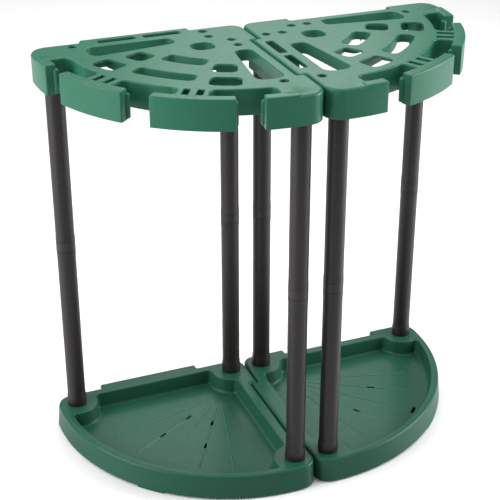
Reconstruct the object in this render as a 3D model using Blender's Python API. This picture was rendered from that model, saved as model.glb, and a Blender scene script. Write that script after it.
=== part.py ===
"""Tool storage rack: two equal quarter-round halves that stand side by side as a half-round.

Each half is a moulded top plate and a moulded tray, held apart by three legs. A leg is a lower
tube, a coupler and an upper tube, pushed together and into sockets at both ends.

One half is laid out in its own plan frame: u runs along the edge that carries the tab, v along
the edge that carries the recess, and both start at the square corner. The left half is turned
by half a turn and the right one by a quarter, so that the right half's tab lies in the left
half's recess. Sizes are in metres, +Z is up and the flat back of the rack faces +Y.
"""

import math

import bmesh
import bpy

# Overall
RACK_HEIGHT = 0.6455
SEAM_GAP = 0.002
CONTACT_GAP = 0.0003

# Plan outline shared by plate and tray
ARC_CENTRE = 0.036
ARC_RADIUS = 0.294
ARC_STEP = math.radians(6.0)
SQUARE_CORNER_RADIUS = 0.020
OUTER_CORNER_RADIUS = 0.026
TAB_START = 0.080
TAB_LENGTH = 0.170
TAB_REACH = 0.012
TAB_SIDE_CLEARANCE = 0.0005
TAB_CORNER_RADIUS = 0.003
TAB_ROOT_RADIUS = 0.002

# Legs
LEG_INSET = 0.027
LEG_END_INSET = 0.030
TUBE_RADIUS = 0.0145
TUBE_WALL = 0.0016
TUBE_SIDES = 20
JOINT_SWELL = 0.0005
JOINT_TAPER = 0.015
FOOT_SWELL = 0.0012
FOOT_LENGTH = 0.010
FOOT_TAPER = 0.014
COUPLER_BOTTOM = 0.326
COUPLER_BAND = 0.015
COUPLER_PLUG = 0.025
COUPLER_WALL = 0.002
PEG_HEIGHT = 0.022
PEG_TAPER = 0.002
SOCKET_WALL = 0.003
SOCKET_ROOF = 0.003

# Top plate
PLATE_DEPTH = 0.045
PLATE_WEB = 0.0035
PLATE_WALL = 0.0035
PLATE_EDGE = 0.003
SLEEVE_WALL = 0.0025
SLEEVE_DEPTH = 0.014
WEDGE_SLEEVE_DEPTH = 0.019

# Handle bays in the arc, with angles about the arc's centre
BAY_DEPTH = 0.028
GUARD_THICKNESS = 0.016
BAY_BACK_FILLET = 0.011
BAY_FRONT_FILLET = 0.004
GUARD_END_FILLET = 0.002
SIDE_BAY_FROM = math.radians(5.3)
SIDE_MOUTH_FROM = math.radians(10.5)
SIDE_MOUTH_TO = math.radians(18.0)
SIDE_BAY_TO = math.radians(25.4)
MIDDLE_BAY_FROM = math.radians(35.2)
MIDDLE_MOUTH_FROM = math.radians(41.0)
BAY_LIFT = 0.0055
BAY_LIFT_MARGIN = 0.004
BEAD_RADIUS = 0.0045
BEAD_STAND = 0.0035
BEAD_DROP = 0.007
BEAD_LIFT = 0.001
BEAD_SIDES = 10

# Openings in the plate
EDGE_SLOT_START = 0.098
EDGE_SLOT_LENGTH = 0.058
EDGE_SLOT_PITCH = 0.070
EDGE_SLOT_COUNT = 2
EDGE_SLOT_WIDTH = 0.013
EDGE_SLOT_FILLET = 0.003
WEDGE_START = 0.121
WEDGE_LENGTH = 0.132
WEDGE_INSET = 0.029
WEDGE_NARROW = 0.026
WEDGE_WIDE = 0.043
WEDGE_NARROW_FILLET = 0.010
WEDGE_WIDE_FILLET = 0.014
ROUND_SQUARE_U = 0.0895
ROUND_SQUARE_V = 0.084
ROUND_SQUARE_SIDE = 0.034
ROUND_SQUARE_FILLET = 0.013
INNER_PAIR_RADIUS = 0.210
INNER_PAIR_DEPTH = 0.034
INNER_PAIR_WIDTH = 0.034
INNER_PAIR_ANGLE = math.radians(26.6)
OUTER_PAIR_RADIUS = 0.2645
OUTER_PAIR_DEPTH = 0.034
OUTER_PAIR_WIDTH = 0.044
OUTER_PAIR_ANGLE = math.radians(25.2)
INNER_ARC_RADIUS = 0.190
INNER_ARC_DEPTH = 0.028
INNER_ARC_LENGTH = 0.066
OUTER_ARC_RADIUS = 0.257
OUTER_ARC_DEPTH = 0.026
OUTER_ARC_LENGTH = 0.094
OPENING_FILLET = 0.009
TOOL_HOLE_RADIUS = 0.0065
TOOL_HOLE_SIDES = 12
HOLE_PITCH = 0.0265
HOLE_ROW_IN = 0.0165
HOLE_ROW_ALONG = 0.065
END_HOLE_ALONG = 0.267
END_HOLE_IN = 0.0155
NECK_SLOT_WIDTH = 0.009
NECK_SLOT_LENGTH = 0.026
NECK_SLOT_PITCH = 0.0195
NECK_SLOT_FILLET = 0.0015

# Ribs under the top plate
WEB_RIB_WIDTH = 0.0025
WEB_RIB_DEPTH = 0.020
WEB_RIB_SETBACK = 0.0065
WEB_RIB_SWEEP = math.radians(60.0)
SLOT_RIB_DEPTH = 0.025
SLOT_RIB_SETBACK = 0.0045
NECK_WALL_OVERLAP = math.radians(2.5)

# Tray
TRAY_HEIGHT = 0.041
TRAY_LIFT = 0.003
TRAY_WALL = 0.0035
TRAY_FLARE = 0.003
TRAY_EDGE = 0.005
TRAY_SHEET = 0.003
POCKET_DEPTH = 0.026
POCKET_DRAFT = 0.002
POCKET_TAB_EDGE = 0.017
POCKET_RECESS_EDGE = 0.030
POCKET_ARC_EDGE = 0.013
POCKET_FILLET = 0.009
BOSS_RADIUS = 0.034
BOSS_STEPS = 6
RIB_ORIGIN = 0.060
RIB_START = 0.036
RIB_COUNT = 5
RIB_WIDTH = 0.0024
RIB_HEIGHT = 0.001
RIB_MARGIN = 0.035
DRAIN_START = 0.083
DRAIN_PITCH = 0.064
DRAIN_LENGTH = 0.013
DRAIN_WIDTH = 0.004
RIM_DRAIN_LENGTH = 0.020
RIM_DRAIN_WIDTH = 0.005
RIM_DRAIN_MARGIN = 0.018
ARC_FOOT_LENGTH = 0.044
ARC_FOOT_WIDTH = 0.0075
ARC_FOOT_INSET = 0.0004

# Colours as (red, green, blue), linear
PLATE_COLOUR = (0.075, 0.285, 0.170)
TRAY_COLOUR = (0.045, 0.180, 0.110)
TUBE_COLOUR = (0.022, 0.019, 0.019)
COUPLER_COLOUR = (0.026, 0.023, 0.023)

# Derived sizes
QUARTER = math.pi / 2
MIDDLE = math.pi / 4
EXTENT = ARC_CENTRE + ARC_RADIUS
TAB_END = TAB_START + TAB_LENGTH
RECESS_START = TAB_START - TAB_SIDE_CLEARANCE
RECESS_END = TAB_END + TAB_SIDE_CLEARANCE
LEG_SPAN = EXTENT - LEG_END_INSET
GUARD_INNER = ARC_RADIUS - GUARD_THICKNESS
BAY_INNER = GUARD_INNER - BAY_DEPTH
PLATE_BOTTOM = RACK_HEIGHT - PLATE_DEPTH
WEB_BOTTOM = RACK_HEIGHT - PLATE_WEB
WEB_MIDDLE = RACK_HEIGHT - PLATE_WEB / 2
SLEEVE_BOTTOM = RACK_HEIGHT - SLEEVE_DEPTH
WEDGE_SLEEVE_BOTTOM = RACK_HEIGHT - WEDGE_SLEEVE_DEPTH
SOCKET_BORE = TUBE_RADIUS + CONTACT_GAP
SOCKET_OUTER = SOCKET_BORE + SOCKET_WALL
SOCKET_TOP = WEB_BOTTOM - SOCKET_ROOF
TRAY_BOTTOM = TRAY_LIFT
POCKET_FLOOR = TRAY_HEIGHT - POCKET_DEPTH
SHEET_BOTTOM = POCKET_FLOOR - TRAY_SHEET
POST_RADIUS = TUBE_RADIUS + FOOT_SWELL + CONTACT_GAP
TUBE_BORE = TUBE_RADIUS - TUBE_WALL
PLUG_RADIUS = TUBE_BORE - CONTACT_GAP
COUPLER_TOP = COUPLER_BOTTOM + COUPLER_BAND
BAND_RADIUS = TUBE_RADIUS + JOINT_SWELL
BACK_EDGE = (EXTENT + TRAY_FLARE - TAB_REACH) / 2
OVERCUT = 0.004
LEGS = {
    "outer": {"left": (LEG_SPAN, LEG_INSET), "right": (LEG_INSET, LEG_SPAN)},
    "inner": {"left": (LEG_INSET, LEG_INSET), "right": (LEG_INSET, LEG_INSET)},
    "front": {"left": (LEG_INSET, LEG_SPAN), "right": (LEG_SPAN, LEG_INSET)},
}


def polar(radius, angle, centre=ARC_CENTRE):
    """Point at a radius and angle about a centre on the half's diagonal."""
    return centre + radius * math.cos(angle), centre + radius * math.sin(angle)


def sharp(x, y):
    """An outline point that gets no fillet."""
    return x, y, 0.0, 0


def corner(x, y, radius, steps=2):
    """An outline corner with the radius of its fillet and the number of steps in it."""
    return x, y, radius, steps


def arc_points(radius, start, end, centre=ARC_CENTRE):
    """Outline points along an arc, both ends included."""
    count = max(2, round(abs(end - start) / ARC_STEP))
    return [sharp(*polar(radius, start + (end - start) * i / count, centre))
            for i in range(count + 1)]


def inset(outline, distance):
    """Move every edge of an anticlockwise outline inwards, and its fillets with it."""
    moved = []
    count = len(outline)
    for i, (x, y, radius, steps) in enumerate(outline):
        before = outline[i - 1]
        after = outline[(i + 1) % count]
        ax, ay = x - before[0], y - before[1]
        bx, by = after[0] - x, after[1] - y
        a_length, b_length = math.hypot(ax, ay), math.hypot(bx, by)
        nx = -ay / a_length - by / b_length
        ny = ax / a_length + bx / b_length
        scale = 2 * distance / (nx * nx + ny * ny)
        is_convex = ax * by - ay * bx > 0
        if steps:
            radius = max(radius - distance if is_convex else radius + distance, 0.0005)
        moved.append((x + scale * nx, y + scale * ny, radius, steps))
    return moved


def rounded(outline):
    """Plain points of an outline, each fillet turned into a short arc."""
    points = []
    count = len(outline)
    for i, (x, y, radius, steps) in enumerate(outline):
        if not steps:
            points.append((x, y))
            continue
        before = outline[i - 1]
        after = outline[(i + 1) % count]
        ax, ay = before[0] - x, before[1] - y
        bx, by = after[0] - x, after[1] - y
        a_length, b_length = math.hypot(ax, ay), math.hypot(bx, by)
        ax, ay, bx, by = ax / a_length, ay / a_length, bx / b_length, by / b_length
        half = math.acos(ax * bx + ay * by) / 2
        a_limit = a_length * (0.49 if before[3] else 0.95)
        b_limit = b_length * (0.49 if after[3] else 0.95)
        reach = min(radius / math.tan(half), a_limit, b_limit)
        size = reach * math.tan(half)
        mid = math.hypot(ax + bx, ay + by)
        cx = x + (ax + bx) / mid * size / math.sin(half)
        cy = y + (ay + by) / mid * size / math.sin(half)
        start = math.atan2(y + ay * reach - cy, x + ax * reach - cx)
        end = math.atan2(y + by * reach - cy, x + bx * reach - cx)
        sweep = (end - start + math.pi) % (2 * math.pi) - math.pi
        for k in range(steps + 1):
            angle = start + sweep * k / steps
            points.append((cx + size * math.cos(angle), cy + size * math.sin(angle)))
    return points


def mirrored(outline):
    """The outline swapped across the half's diagonal, still anticlockwise."""
    return [(y, x, radius, steps) for x, y, radius, steps in reversed(outline)]


def ring(x, y, radius, sides):
    """A round outline whose flats lie at the radius."""
    reach = radius / math.cos(math.pi / sides)
    step = 2 * math.pi / sides
    return [sharp(x + reach * math.cos(step * (i + 0.5)), y + reach * math.sin(step * (i + 0.5)))
            for i in range(sides)]


def bar(x, y, angle, length, width, radius=0.0, steps=0):
    """A rectangle about a point, with its length turned to an angle."""
    along = (math.cos(angle) * length / 2, math.sin(angle) * length / 2)
    across = (-math.sin(angle) * width / 2, math.cos(angle) * width / 2)
    return [corner(x + s * along[0] + t * across[0], y + s * along[1] + t * across[1], radius, steps)
            for s, t in ((-1, -1), (1, -1), (1, 1), (-1, 1))]


def sector(radius, depth, angle, length, fillet=OPENING_FILLET):
    """An opening between two arcs about the half's square corner."""
    inner, outer = radius - depth / 2, radius + depth / 2
    low, high = angle - length / radius / 2, angle + length / radius / 2
    outline = [corner(*polar(outer, low, 0.0), fillet)]
    outline += arc_points(outer, low, high, 0.0)[1:-1]
    outline.append(corner(*polar(outer, high, 0.0), fillet))
    outline.append(corner(*polar(inner, high, 0.0), fillet))
    outline += arc_points(inner, high, low, 0.0)[1:-1]
    outline.append(corner(*polar(inner, low, 0.0), fillet))
    return outline


def tab_edge(extent):
    """Outline from the square corner along the edge with the tab, as far as the arc."""
    return [
        corner(0.0, 0.0, SQUARE_CORNER_RADIUS, 4),
        corner(TAB_START, 0.0, TAB_ROOT_RADIUS, 1),
        corner(TAB_START, -TAB_REACH, TAB_CORNER_RADIUS),
        corner(TAB_END, -TAB_REACH, TAB_CORNER_RADIUS),
        corner(TAB_END, 0.0, TAB_ROOT_RADIUS, 1),
        corner(extent, 0.0, OUTER_CORNER_RADIUS, 4),
    ]


def recess_edge(extent):
    """Outline from the arc back along the edge with the recess to the square corner."""
    return [
        corner(0.0, extent, OUTER_CORNER_RADIUS, 4),
        corner(0.0, RECESS_END, TAB_CORNER_RADIUS),
        corner(TAB_REACH, RECESS_END, TAB_ROOT_RADIUS, 1),
        corner(TAB_REACH, RECESS_START, TAB_ROOT_RADIUS, 1),
        corner(0.0, RECESS_START, TAB_CORNER_RADIUS),
    ]


def bays():
    """Each handle bay as (bay from, mouth from, mouth to, bay to), in turning order."""
    first = (SIDE_BAY_FROM, SIDE_MOUTH_FROM, SIDE_MOUTH_TO, SIDE_BAY_TO)
    middle = (MIDDLE_BAY_FROM, MIDDLE_MOUTH_FROM, QUARTER - MIDDLE_MOUTH_FROM, QUARTER - MIDDLE_BAY_FROM)
    last = tuple(QUARTER - angle for angle in reversed(first))
    return first, middle, last


def bay_outline(bay_from, mouth_from, mouth_to, bay_to):
    """Outline into a bay through its mouth, round behind the guards and out again."""
    outline = [
        corner(*polar(ARC_RADIUS, mouth_from), GUARD_END_FILLET),
        corner(*polar(GUARD_INNER, mouth_from), GUARD_END_FILLET),
        corner(*polar(GUARD_INNER, bay_from), BAY_FRONT_FILLET),
        corner(*polar(BAY_INNER, bay_from), BAY_BACK_FILLET, 3),
    ]
    outline += arc_points(BAY_INNER, bay_from, bay_to)[1:-1]
    outline += [
        corner(*polar(BAY_INNER, bay_to), BAY_BACK_FILLET, 3),
        corner(*polar(GUARD_INNER, bay_to), BAY_FRONT_FILLET),
        corner(*polar(GUARD_INNER, mouth_to), GUARD_END_FILLET),
        corner(*polar(ARC_RADIUS, mouth_to), GUARD_END_FILLET),
    ]
    return outline


def plate_outline():
    """Outer edge of the top plate, with three bays in its arc behind T-shaped guards."""
    outline = tab_edge(EXTENT)
    outline.append(sharp(*polar(ARC_RADIUS, 0.0)))
    reached = 0.0
    for bay in bays():
        outline += arc_points(ARC_RADIUS, reached, bay[1])[1:-1]
        outline += bay_outline(*bay)
        reached = bay[2]
    outline += arc_points(ARC_RADIUS, reached, QUARTER)[1:]
    return outline + recess_edge(EXTENT)


def tray_outline(flare):
    """Outer edge of the tray, whose arc stands out by a flare at the bottom."""
    extent = EXTENT + flare
    return tab_edge(extent) + arc_points(ARC_RADIUS + flare, 0.0, QUARTER) + recess_edge(extent)


def wedge_outline():
    """The long opening along the tab's edge, wider at its far end."""
    end = WEDGE_START + WEDGE_LENGTH
    return [
        corner(WEDGE_START, WEDGE_INSET, WEDGE_NARROW_FILLET),
        corner(end, WEDGE_INSET, WEDGE_WIDE_FILLET),
        corner(end, WEDGE_INSET + WEDGE_WIDE, WEDGE_WIDE_FILLET),
        corner(WEDGE_START, WEDGE_INSET + WEDGE_NARROW, WEDGE_NARROW_FILLET),
    ]


def edge_slots():
    """The slots side by side in the tab."""
    middle = TAB_SIDE_CLEARANCE + EDGE_SLOT_WIDTH / 2
    for i in range(EDGE_SLOT_COUNT):
        along = EDGE_SLOT_START + EDGE_SLOT_PITCH * i + EDGE_SLOT_LENGTH / 2
        yield bar(along, middle, 0.0, EDGE_SLOT_LENGTH, EDGE_SLOT_WIDTH, EDGE_SLOT_FILLET, 1)


def tool_holes():
    """The six round holes for hand tools, placed from the two straight edges."""
    row = HOLE_ROW_ALONG
    step = HOLE_PITCH
    places = (
        (row, HOLE_ROW_IN),
        (row, HOLE_ROW_IN + step),
        (row - step, HOLE_ROW_IN + 2 * step),
        (row - step, HOLE_ROW_IN + 3 * step),
        (END_HOLE_ALONG, END_HOLE_IN),
        (row - step, END_HOLE_ALONG),
    )
    return [ring(u, v, TOOL_HOLE_RADIUS, TOOL_HOLE_SIDES) for u, v in places]


def neck_slots():
    """The two slots in each neck between the bays, their length along the neck."""
    radius = (GUARD_INNER + BAY_INNER) / 2
    neck_middle = (SIDE_BAY_TO + MIDDLE_BAY_FROM) / 2
    for centre in (neck_middle, QUARTER - neck_middle):
        for side in (-0.5, 0.5):
            u, v = polar(radius, centre)
            u -= math.sin(centre) * NECK_SLOT_PITCH * side
            v += math.cos(centre) * NECK_SLOT_PITCH * side
            yield bar(u, v, centre, NECK_SLOT_LENGTH, NECK_SLOT_WIDTH, NECK_SLOT_FILLET, 1)


def sleeved_openings():
    """Each opening with a sleeve under it, and the height where the sleeve ends."""
    side = ROUND_SQUARE_SIDE
    wedge = wedge_outline()
    return [
        (wedge, WEDGE_SLEEVE_BOTTOM),
        (mirrored(wedge), WEDGE_SLEEVE_BOTTOM),
        (bar(ROUND_SQUARE_U, ROUND_SQUARE_V, 0.0, side, side, ROUND_SQUARE_FILLET, 3), SLEEVE_BOTTOM),
        (sector(INNER_ARC_RADIUS, INNER_ARC_DEPTH, MIDDLE, INNER_ARC_LENGTH), SLEEVE_BOTTOM),
        (sector(OUTER_ARC_RADIUS, OUTER_ARC_DEPTH, MIDDLE, OUTER_ARC_LENGTH), SLEEVE_BOTTOM),
    ]


def plain_openings():
    """The openings that are cut through the web alone."""
    openings = []
    for angle in (INNER_PAIR_ANGLE, QUARTER - INNER_PAIR_ANGLE):
        openings.append(sector(INNER_PAIR_RADIUS, INNER_PAIR_DEPTH, angle, INNER_PAIR_WIDTH))
    for angle in (OUTER_PAIR_ANGLE, QUARTER - OUTER_PAIR_ANGLE):
        openings.append(sector(OUTER_PAIR_RADIUS, OUTER_PAIR_DEPTH, angle, OUTER_PAIR_WIDTH))
    openings += edge_slots()
    openings += tool_holes()
    openings += neck_slots()
    return openings


def web_ribs():
    """Ribs under the web as (outline, bottom, top): arcs behind the pairs, and bars by the tab's slots."""
    bottom = RACK_HEIGHT - WEB_RIB_DEPTH
    for radius, depth in ((INNER_PAIR_RADIUS, INNER_PAIR_DEPTH), (OUTER_PAIR_RADIUS, OUTER_PAIR_DEPTH)):
        middle = radius - depth / 2 - WEB_RIB_SETBACK
        yield arc_strip(middle, WEB_RIB_WIDTH, MIDDLE, middle * WEB_RIB_SWEEP, 0.0), bottom, WEB_MIDDLE
    low = PLATE_WALL / 2 - TAB_REACH
    ends = (ROUND_SQUARE_V - ROUND_SQUARE_SIDE / 2 - SLEEVE_WALL / 2, WEDGE_INSET - SLEEVE_WALL / 2)
    for i, high in enumerate(ends):
        along = EDGE_SLOT_START + EDGE_SLOT_PITCH * i - SLOT_RIB_SETBACK
        rib = bar(along, (low + high) / 2, QUARTER, high - low, WEB_RIB_WIDTH)
        yield rib, RACK_HEIGHT - SLOT_RIB_DEPTH, WEB_MIDDLE


def neck_walls():
    """Walls that carry the bays' back through the necks, as (outline, bottom, top)."""
    middle = (SIDE_BAY_TO + MIDDLE_BAY_FROM) / 2
    sweep = MIDDLE_BAY_FROM - SIDE_BAY_TO + 2 * NECK_WALL_OVERLAP
    radius = BAY_INNER - WEB_RIB_WIDTH / 2
    for angle in (middle, QUARTER - middle):
        yield arc_strip(radius, WEB_RIB_WIDTH, angle, sweep * radius), PLATE_BOTTOM, WEB_MIDDLE


def leg_places():
    """Plan places of the three legs of a half."""
    return (LEG_SPAN, LEG_INSET), (LEG_INSET, LEG_INSET), (LEG_INSET, LEG_SPAN)


def add_loft(mesh, layers):
    """Add a closed solid through layers of (outline, height), listed from the bottom up."""
    rings = [[mesh.verts.new((x, y, z)) for x, y in rounded(outline)] for outline, z in layers]
    count = len(rings[0])
    for low, high in zip(rings, rings[1:]):
        for i in range(count):
            j = (i + 1) % count
            mesh.faces.new((low[i], low[j], high[j], high[i]))
    mesh.faces.new(list(reversed(rings[0])))
    mesh.faces.new(rings[-1])


def add_prism(mesh, outline, bottom, top):
    """Add a straight solid of one outline between two heights."""
    add_loft(mesh, [(outline, bottom), (outline, top)])


def new_object(name, mesh, material=None):
    """Make an object from a finished bmesh."""
    data = bpy.data.meshes.new(name)
    mesh.to_mesh(data)
    mesh.free()
    obj = bpy.data.objects.new(name, data)
    bpy.context.scene.collection.objects.link(obj)
    if material is not None:
        data.materials.append(material)
    return obj


def prisms(name, solids):
    """Make one object from (outline, bottom, top) solids."""
    mesh = bmesh.new()
    for outline, bottom, top in solids:
        add_prism(mesh, outline, bottom, top)
    return new_object(name, mesh)


def combine(target, other, operation):
    """Join, cut or trim an object by another, which is used up."""
    modifier = target.modifiers.new("Combine", "BOOLEAN")
    modifier.operation = operation
    modifier.solver = "EXACT"
    modifier.use_self = True
    modifier.object = other
    depsgraph = bpy.context.evaluated_depsgraph_get()
    data = bpy.data.meshes.new_from_object(target.evaluated_get(depsgraph))
    target.modifiers.clear()
    old = target.data
    target.data = data
    bpy.data.meshes.remove(old)
    bpy.data.objects.remove(other)


def finish_mesh(data, name, colour, roughness, crease=math.radians(35.0)):
    """Give a mesh its own material and smooth shading with sharp edges."""
    material = bpy.data.materials.new(name)
    material.use_nodes = True
    shader = material.node_tree.nodes["Principled BSDF"]
    shader.inputs["Base Color"].default_value = (*colour, 1.0)
    shader.inputs["Roughness"].default_value = roughness
    shader.inputs["Metallic"].default_value = 0.0
    data.materials.clear()
    data.materials.append(material)
    data.shade_smooth()
    data.set_sharp_from_angle(angle=crease)


def bead_solids():
    """Upright beads on the mouths' end faces, where a handle is nipped as it goes in."""
    offset = (BEAD_RADIUS - BEAD_STAND) / GUARD_INNER
    bottom = PLATE_BOTTOM + BEAD_LIFT
    top = RACK_HEIGHT - BEAD_DROP
    for _, mouth_from, mouth_to, _ in bays():
        for angle in (mouth_from - offset, mouth_to + offset):
            yield ring(*polar(GUARD_INNER, angle), BEAD_RADIUS, BEAD_SIDES), bottom, top


def bay_step():
    """The space under the bays' side and back walls, which end above the guards' bottom edge."""
    inner = BAY_INNER - PLATE_WALL - OVERCUT
    outer = GUARD_INNER - BAY_LIFT_MARGIN
    depth = outer - inner
    middle = inner + depth / 2
    start = SIDE_BAY_FROM - (PLATE_WALL + OVERCUT) / BAY_INNER
    step = arc_strip(middle, depth, MIDDLE, (QUARTER - 2 * start) * middle)
    return prisms("bay_step", [(step, PLATE_BOTTOM - OVERCUT, PLATE_BOTTOM + BAY_LIFT)])


def build_plate():
    """Top plate: a hollow moulding with sleeves, blind leg sockets and beaded bay mouths."""
    edge = plate_outline()
    sleeved = sleeved_openings()
    mesh = bmesh.new()
    add_loft(mesh, [
        (edge, PLATE_BOTTOM),
        (edge, RACK_HEIGHT - PLATE_EDGE),
        (inset(edge, PLATE_EDGE * 0.3), RACK_HEIGHT - PLATE_EDGE * 0.3),
        (inset(edge, PLATE_EDGE), RACK_HEIGHT),
    ])
    plate = new_object("plate", mesh)
    hollow = prisms("hollow", [(inset(edge, PLATE_WALL), PLATE_BOTTOM - OVERCUT, WEB_BOTTOM)])
    sleeves = [(inset(hole, -SLEEVE_WALL), bottom, WEB_MIDDLE) for hole, bottom in sleeved]
    sockets = [(ring(u, v, SOCKET_OUTER, TUBE_SIDES), PLATE_BOTTOM, WEB_MIDDLE) for u, v in leg_places()]
    combine(hollow, prisms("sleeves", sleeves), "DIFFERENCE")
    combine(hollow, prisms("sockets", sockets), "DIFFERENCE")
    combine(hollow, prisms("ribs", list(web_ribs()) + list(neck_walls())), "DIFFERENCE")
    combine(plate, hollow, "DIFFERENCE")
    combine(plate, bay_step(), "DIFFERENCE")
    combine(plate, prisms("beads", bead_solids()), "UNION")
    holes = [hole for hole, _ in sleeved] + plain_openings()
    cuts = [(hole, PLATE_BOTTOM, RACK_HEIGHT + OVERCUT) for hole in holes]
    combine(plate, prisms("cuts", cuts), "DIFFERENCE")
    bores = [(ring(u, v, SOCKET_BORE, TUBE_SIDES), PLATE_BOTTOM - OVERCUT, SOCKET_TOP)
             for u, v in leg_places()]
    combine(plate, prisms("bores", bores), "DIFFERENCE")
    return take_mesh(plate)


def boss_arc(leg, start, end):
    """Outline round a leg's boss between two points, its ends filleted into the pocket's wall."""
    first = math.atan2(start[1] - leg[1], start[0] - leg[0])
    sweep = (first - math.atan2(end[1] - leg[1], end[0] - leg[0])) % (2 * math.pi)
    middle = []
    for i in range(1, BOSS_STEPS):
        angle = first - sweep * i / BOSS_STEPS
        middle.append(sharp(leg[0] + BOSS_RADIUS * math.cos(angle), leg[1] + BOSS_RADIUS * math.sin(angle)))
    return [corner(*start, POCKET_FILLET, 3)] + middle + [corner(*end, POCKET_FILLET, 3)]


def pocket_outline():
    """Edge of the tray's sunk floor at the rim, drawn in round the boss of each leg."""
    radius = ARC_RADIUS - POCKET_ARC_EDGE
    outer, inner, front = leg_places()
    tab_reach = math.sqrt(BOSS_RADIUS ** 2 - (LEG_INSET - POCKET_TAB_EDGE) ** 2)
    recess_reach = math.sqrt(BOSS_RADIUS ** 2 - (LEG_INSET - POCKET_RECESS_EDGE) ** 2)
    leg_radius = math.hypot(LEG_SPAN - ARC_CENTRE, LEG_INSET - ARC_CENTRE)
    leg_angle = math.atan2(LEG_INSET - ARC_CENTRE, LEG_SPAN - ARC_CENTRE)
    cosine = (radius ** 2 + leg_radius ** 2 - BOSS_RADIUS ** 2) / (2 * radius * leg_radius)
    arc_start = leg_angle + math.acos(cosine)
    arc_end = QUARTER - arc_start
    outline = boss_arc(inner, (POCKET_RECESS_EDGE, LEG_INSET + recess_reach),
                       (LEG_INSET + tab_reach, POCKET_TAB_EDGE))
    outline += boss_arc(outer, (LEG_SPAN - tab_reach, POCKET_TAB_EDGE), polar(radius, arc_start))
    outline += arc_points(radius, arc_start, arc_end)[1:-1]
    outline += boss_arc(front, polar(radius, arc_end), (POCKET_RECESS_EDGE, LEG_SPAN - recess_reach))
    return outline


def pocket_solid(name, spread, bottom, top):
    """The space over the tray's floor between two heights, spread by a wall's width."""
    mesh = bmesh.new()
    draft = POCKET_DRAFT / POCKET_DEPTH
    edge = pocket_outline()
    low = inset(edge, (TRAY_HEIGHT - bottom) * draft - spread)
    high = inset(edge, (TRAY_HEIGHT - top) * draft - spread)
    add_loft(mesh, [(low, bottom), (high, top)])
    return new_object(name, mesh)


def rib_angles():
    """Angles of the floor's ribs, spread evenly over the quarter."""
    return [QUARTER * i / (RIB_COUNT + 1) for i in range(1, RIB_COUNT + 1)]


def floor_ribs():
    """Low ribs that fan out over the tray's floor."""
    length = ARC_RADIUS - POCKET_ARC_EDGE - POCKET_DRAFT - RIB_MARGIN
    for angle in rib_angles():
        inner = polar(RIB_START, angle, RIB_ORIGIN)
        outer = rib_end(angle, length)
        middle = ((inner[0] + outer[0]) / 2, (inner[1] + outer[1]) / 2)
        reach = math.hypot(outer[0] - inner[0], outer[1] - inner[1])
        yield bar(*middle, angle, reach, RIB_WIDTH), POCKET_FLOOR - RIB_HEIGHT, POCKET_FLOOR + RIB_HEIGHT


def rib_end(angle, radius):
    """Where a ray from the ribs' origin meets a radius about the arc's centre."""
    offset = RIB_ORIGIN - ARC_CENTRE
    across = offset * (math.cos(angle) + math.sin(angle))
    reach = -across + math.sqrt(across * across + radius * radius - 2 * offset * offset)
    return polar(reach, angle, RIB_ORIGIN)


def drain_outlines():
    """Slots through the tray's floor, two along every other rib and one by the arc."""
    for angle in rib_angles()[1::2]:
        for k in range(2):
            u, v = polar(DRAIN_START + DRAIN_PITCH * k, angle, RIB_ORIGIN)
            yield bar(u, v, angle, DRAIN_LENGTH, DRAIN_WIDTH, DRAIN_WIDTH / 3, 1)
    radius = ARC_RADIUS - POCKET_ARC_EDGE - RIM_DRAIN_MARGIN
    u, v = polar(radius, MIDDLE)
    yield bar(u, v, MIDDLE + QUARTER, RIM_DRAIN_LENGTH, RIM_DRAIN_WIDTH, RIM_DRAIN_WIDTH / 3, 1)


def build_tray():
    """Tray: a hollow moulding with a sunk floor, three leg posts with pegs, and a foot."""
    mesh = bmesh.new()
    edge = tray_outline(0.0)
    add_loft(mesh, [
        (tray_outline(TRAY_FLARE), TRAY_BOTTOM),
        (edge, TRAY_HEIGHT - TRAY_EDGE),
        (inset(edge, TRAY_EDGE * 0.3), TRAY_HEIGHT - TRAY_EDGE * 0.3),
        (inset(edge, TRAY_EDGE), TRAY_HEIGHT),
    ])
    tray = new_object("tray", mesh)
    mesh = bmesh.new()
    under_top = TRAY_HEIGHT - TRAY_SHEET
    add_loft(mesh, [
        (inset(tray_outline(TRAY_FLARE), TRAY_WALL), TRAY_BOTTOM - OVERCUT),
        (inset(edge, TRAY_WALL), TRAY_HEIGHT - TRAY_EDGE),
        (inset(edge, TRAY_WALL + TRAY_EDGE * 0.5), under_top),
    ])
    under = new_object("under", mesh)
    combine(under, pocket_solid("floor", TRAY_SHEET, SHEET_BOTTOM, TRAY_HEIGHT), "DIFFERENCE")
    posts = [(ring(u, v, POST_RADIUS, TUBE_SIDES), TRAY_BOTTOM - 2 * OVERCUT, TRAY_HEIGHT)
             for u, v in leg_places()]
    combine(under, prisms("posts", posts), "DIFFERENCE")
    combine(tray, under, "DIFFERENCE")
    combine(tray, pocket_solid("pocket", 0.0, POCKET_FLOOR, TRAY_HEIGHT + OVERCUT), "DIFFERENCE")
    feet = [(ring(u, v, POST_RADIUS - TUBE_WALL, TUBE_SIDES), 0.0, TRAY_BOTTOM + OVERCUT)
            for u, v in leg_places()]
    combine(tray, prisms("feet", feet), "UNION")
    combine(tray, prisms("ribs", floor_ribs()), "UNION")
    combine(tray, arc_foot(), "UNION")
    combine(tray, pegs(), "UNION")
    drains = [(drain, TRAY_BOTTOM, TRAY_HEIGHT) for drain in drain_outlines()]
    combine(tray, prisms("drains", drains), "DIFFERENCE")
    return take_mesh(tray)


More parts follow.
